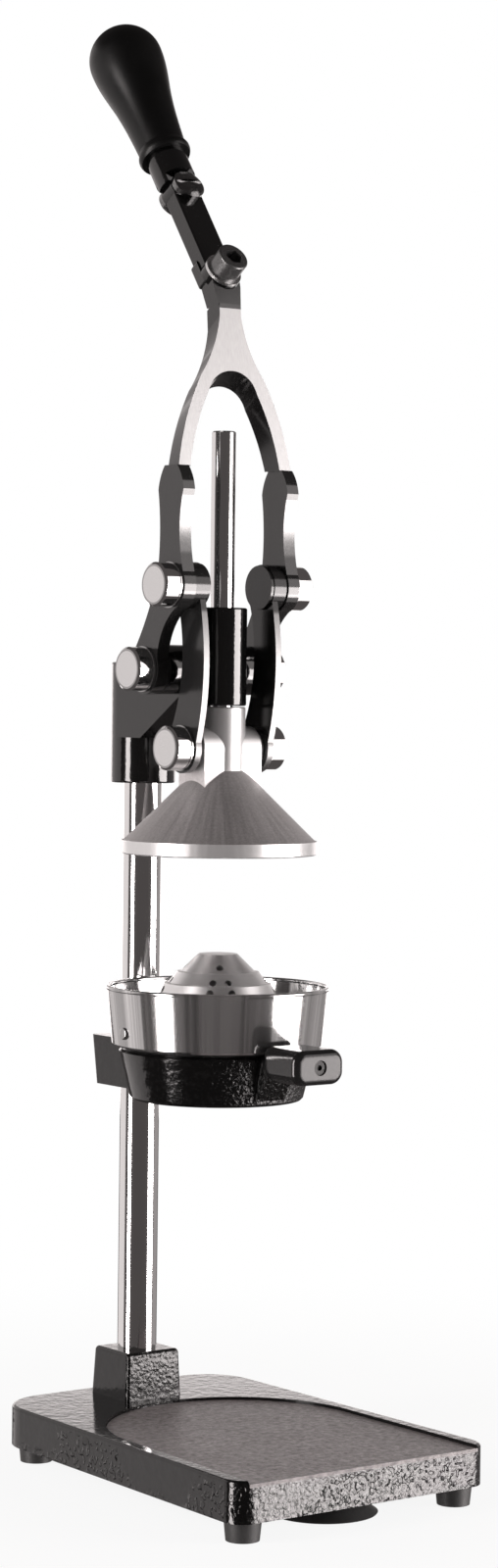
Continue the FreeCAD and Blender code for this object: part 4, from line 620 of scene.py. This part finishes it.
def turned_group():
    """Lathe lines about an upright axis; streaks and broad bands run down it."""
    tree, given, out = new_group(
        "turned", [("Where", "NodeSocketVector", None), ("Pitch", "NodeSocketFloat", 0.4)],
        ["Lines", "Streaks", "Bands"])
    x, y, z = split(tree, given["Where"])
    radius = distance(tree, x, y)
    along = sums(tree, "DIVIDE", sums(tree, "ADD", radius, z), given["Pitch"])
    ring = add(tree, "ShaderNodeCombineXYZ")
    tree.links.new(along, ring.inputs[0])
    spoke = add(tree, "ShaderNodeCombineXYZ")
    turn = sums(tree, "ARCTAN2", y, x)
    tree.links.new(both(tree, turn, STREAKS_PER_RADIAN), spoke.inputs[0])
    tree.links.new(both(tree, radius, STREAK_WANDER), spoke.inputs[1])
    lines = noise(tree, ring.outputs[0], scale=1.0, detail=3.0, roughness=0.7)
    streaks = noise(tree, spoke.outputs[0], scale=1.0, detail=4.0, roughness=0.6)
    bands = noise(tree, spoke.outputs[0], scale=0.16, detail=1.0)
    tree.links.new(lines, out["Lines"])
    tree.links.new(streaks, out["Streaks"])
    tree.links.new(bands, out["Bands"])
    return tree


TURNED = turned_group()
bell, tree, shader, where = surface("bell_aluminium")
turning = use_group(tree, TURNED, Where=where, Pitch=0.35)
height = split(tree, where)[2]
rim = fall(tree, height, RIM_TOP - RIM_EDGE, RIM_TOP)
neck = rise(tree, height, NECK_FOOT, NECK_FOOT + NECK_EDGE)
machined = sums(tree, "ADD", rim, neck)
cast = noise(tree, where, scale=0.9, detail=3.0, roughness=0.7)
mottle = scaled_plus(tree, cast, scale=0.7, extra=both(tree, turning["Streaks"], 0.4))
flank_metal = blend(tree, mottle, grey(0.24, 0.04), grey(0.68, 0.03))
paint(tree, shader, machined, flank_metal, grey(0.58))
feed(tree, shader.inputs["Metallic"], scaled_plus(tree, machined, scale=-0.24, extra=1.0))
flank_rough = spread(tree, turning["Streaks"], 0.54, 0.62)
roughen(tree, shader, scaled_plus(tree, machined, scale=-0.24, extra=flank_rough))
flank = sums(tree, "SUBTRACT", 1.0, machined)
bump(tree, shader, scaled_plus(tree, flank, mottle, turning["Lines"]), relief=0.012)
dress(bell, "press_cone")

# Juice cup
# Spun aluminium, polished with fine rings, that sits in the holder's ring. Broad pale
# and dark bands around it are painted reflections in its colour. The rivets through
# its wall are of the same metal.
cup_metal, tree, shader, where = surface("cup_aluminium")
turning = use_group(tree, TURNED, Where=where, Pitch=0.5)
# Painted reflections: broad bands, with finer streaks, set the cup's grey from dark to pale.
painted_reflections_and_streaks = scaled_plus(
    tree, turning["Streaks"], scale=0.35, extra=both(tree, turning["Bands"], 0.65))
paint(tree, shader, rise(tree, painted_reflections_and_streaks, low=0.36, high=0.62), grey(0.34), grey(0.86))
shader.inputs["Metallic"].default_value = 0.97
roughen(tree, shader, spread(tree, turning["Lines"], 0.08, 0.14))
bump(tree, shader, turning["Lines"], relief=0.01)
dress(cup_metal, "juice_cup", "cup_rivets")

# Strainer cone
# Pressed aluminium with holes, standing in the cup. Its shine is softer than the
# cup's.
strainer_metal, tree, shader, where, marks = handled("strainer_aluminium")
turning = use_group(tree, TURNED, Where=where, Pitch=0.6)
paint(tree, shader, turning["Lines"], grey(0.66), grey(0.92))
shader.inputs["Metallic"].default_value = 1.0
roughen(tree, shader, spread(tree, marks["Grain"], 0.34, 0.42))
bump(tree, shader, turning["Lines"], relief=0.01)
dress(strainer_metal, "strainer_cone")

# Grip
# Black moulded plastic on the tang of the upper bar. It is satin from use, which
# shows as a soft grey strip.
grip_plastic, tree, shader, where, marks = handled("grip_plastic")
paint(tree, shader, marks["Blotch"], grey(0.001), grey(0.002))
roughen(tree, shader, spread(tree, marks["Blotch"], 0.30, 0.42))
shader.inputs["Specular IOR Level"].default_value = 0.28
bump(tree, shader, marks["Grain"], relief=0.008)
dress(grip_plastic, "lever_grip")

# Front handle
# The same plastic, but shiny, screwed to the holder's neck. The face that the
# thumb meets is rubbed dull.
THUMB_WEAR = 0.28
handle_plastic, tree, shader, where, marks = handled("handle_plastic")
paint(tree, shader, marks["Blotch"], grey(0.004), grey(0.010))
rubbed = fall(tree, facing(tree)[1], low=-0.99, high=-0.93)
roughen(tree, shader, scaled_plus(
    tree, rubbed, THUMB_WEAR, spread(tree, marks["Grain"], 0.10, 0.18)))
bump(tree, shader, marks["Grain"], relief=0.012)
dress(handle_plastic, "front_handle")
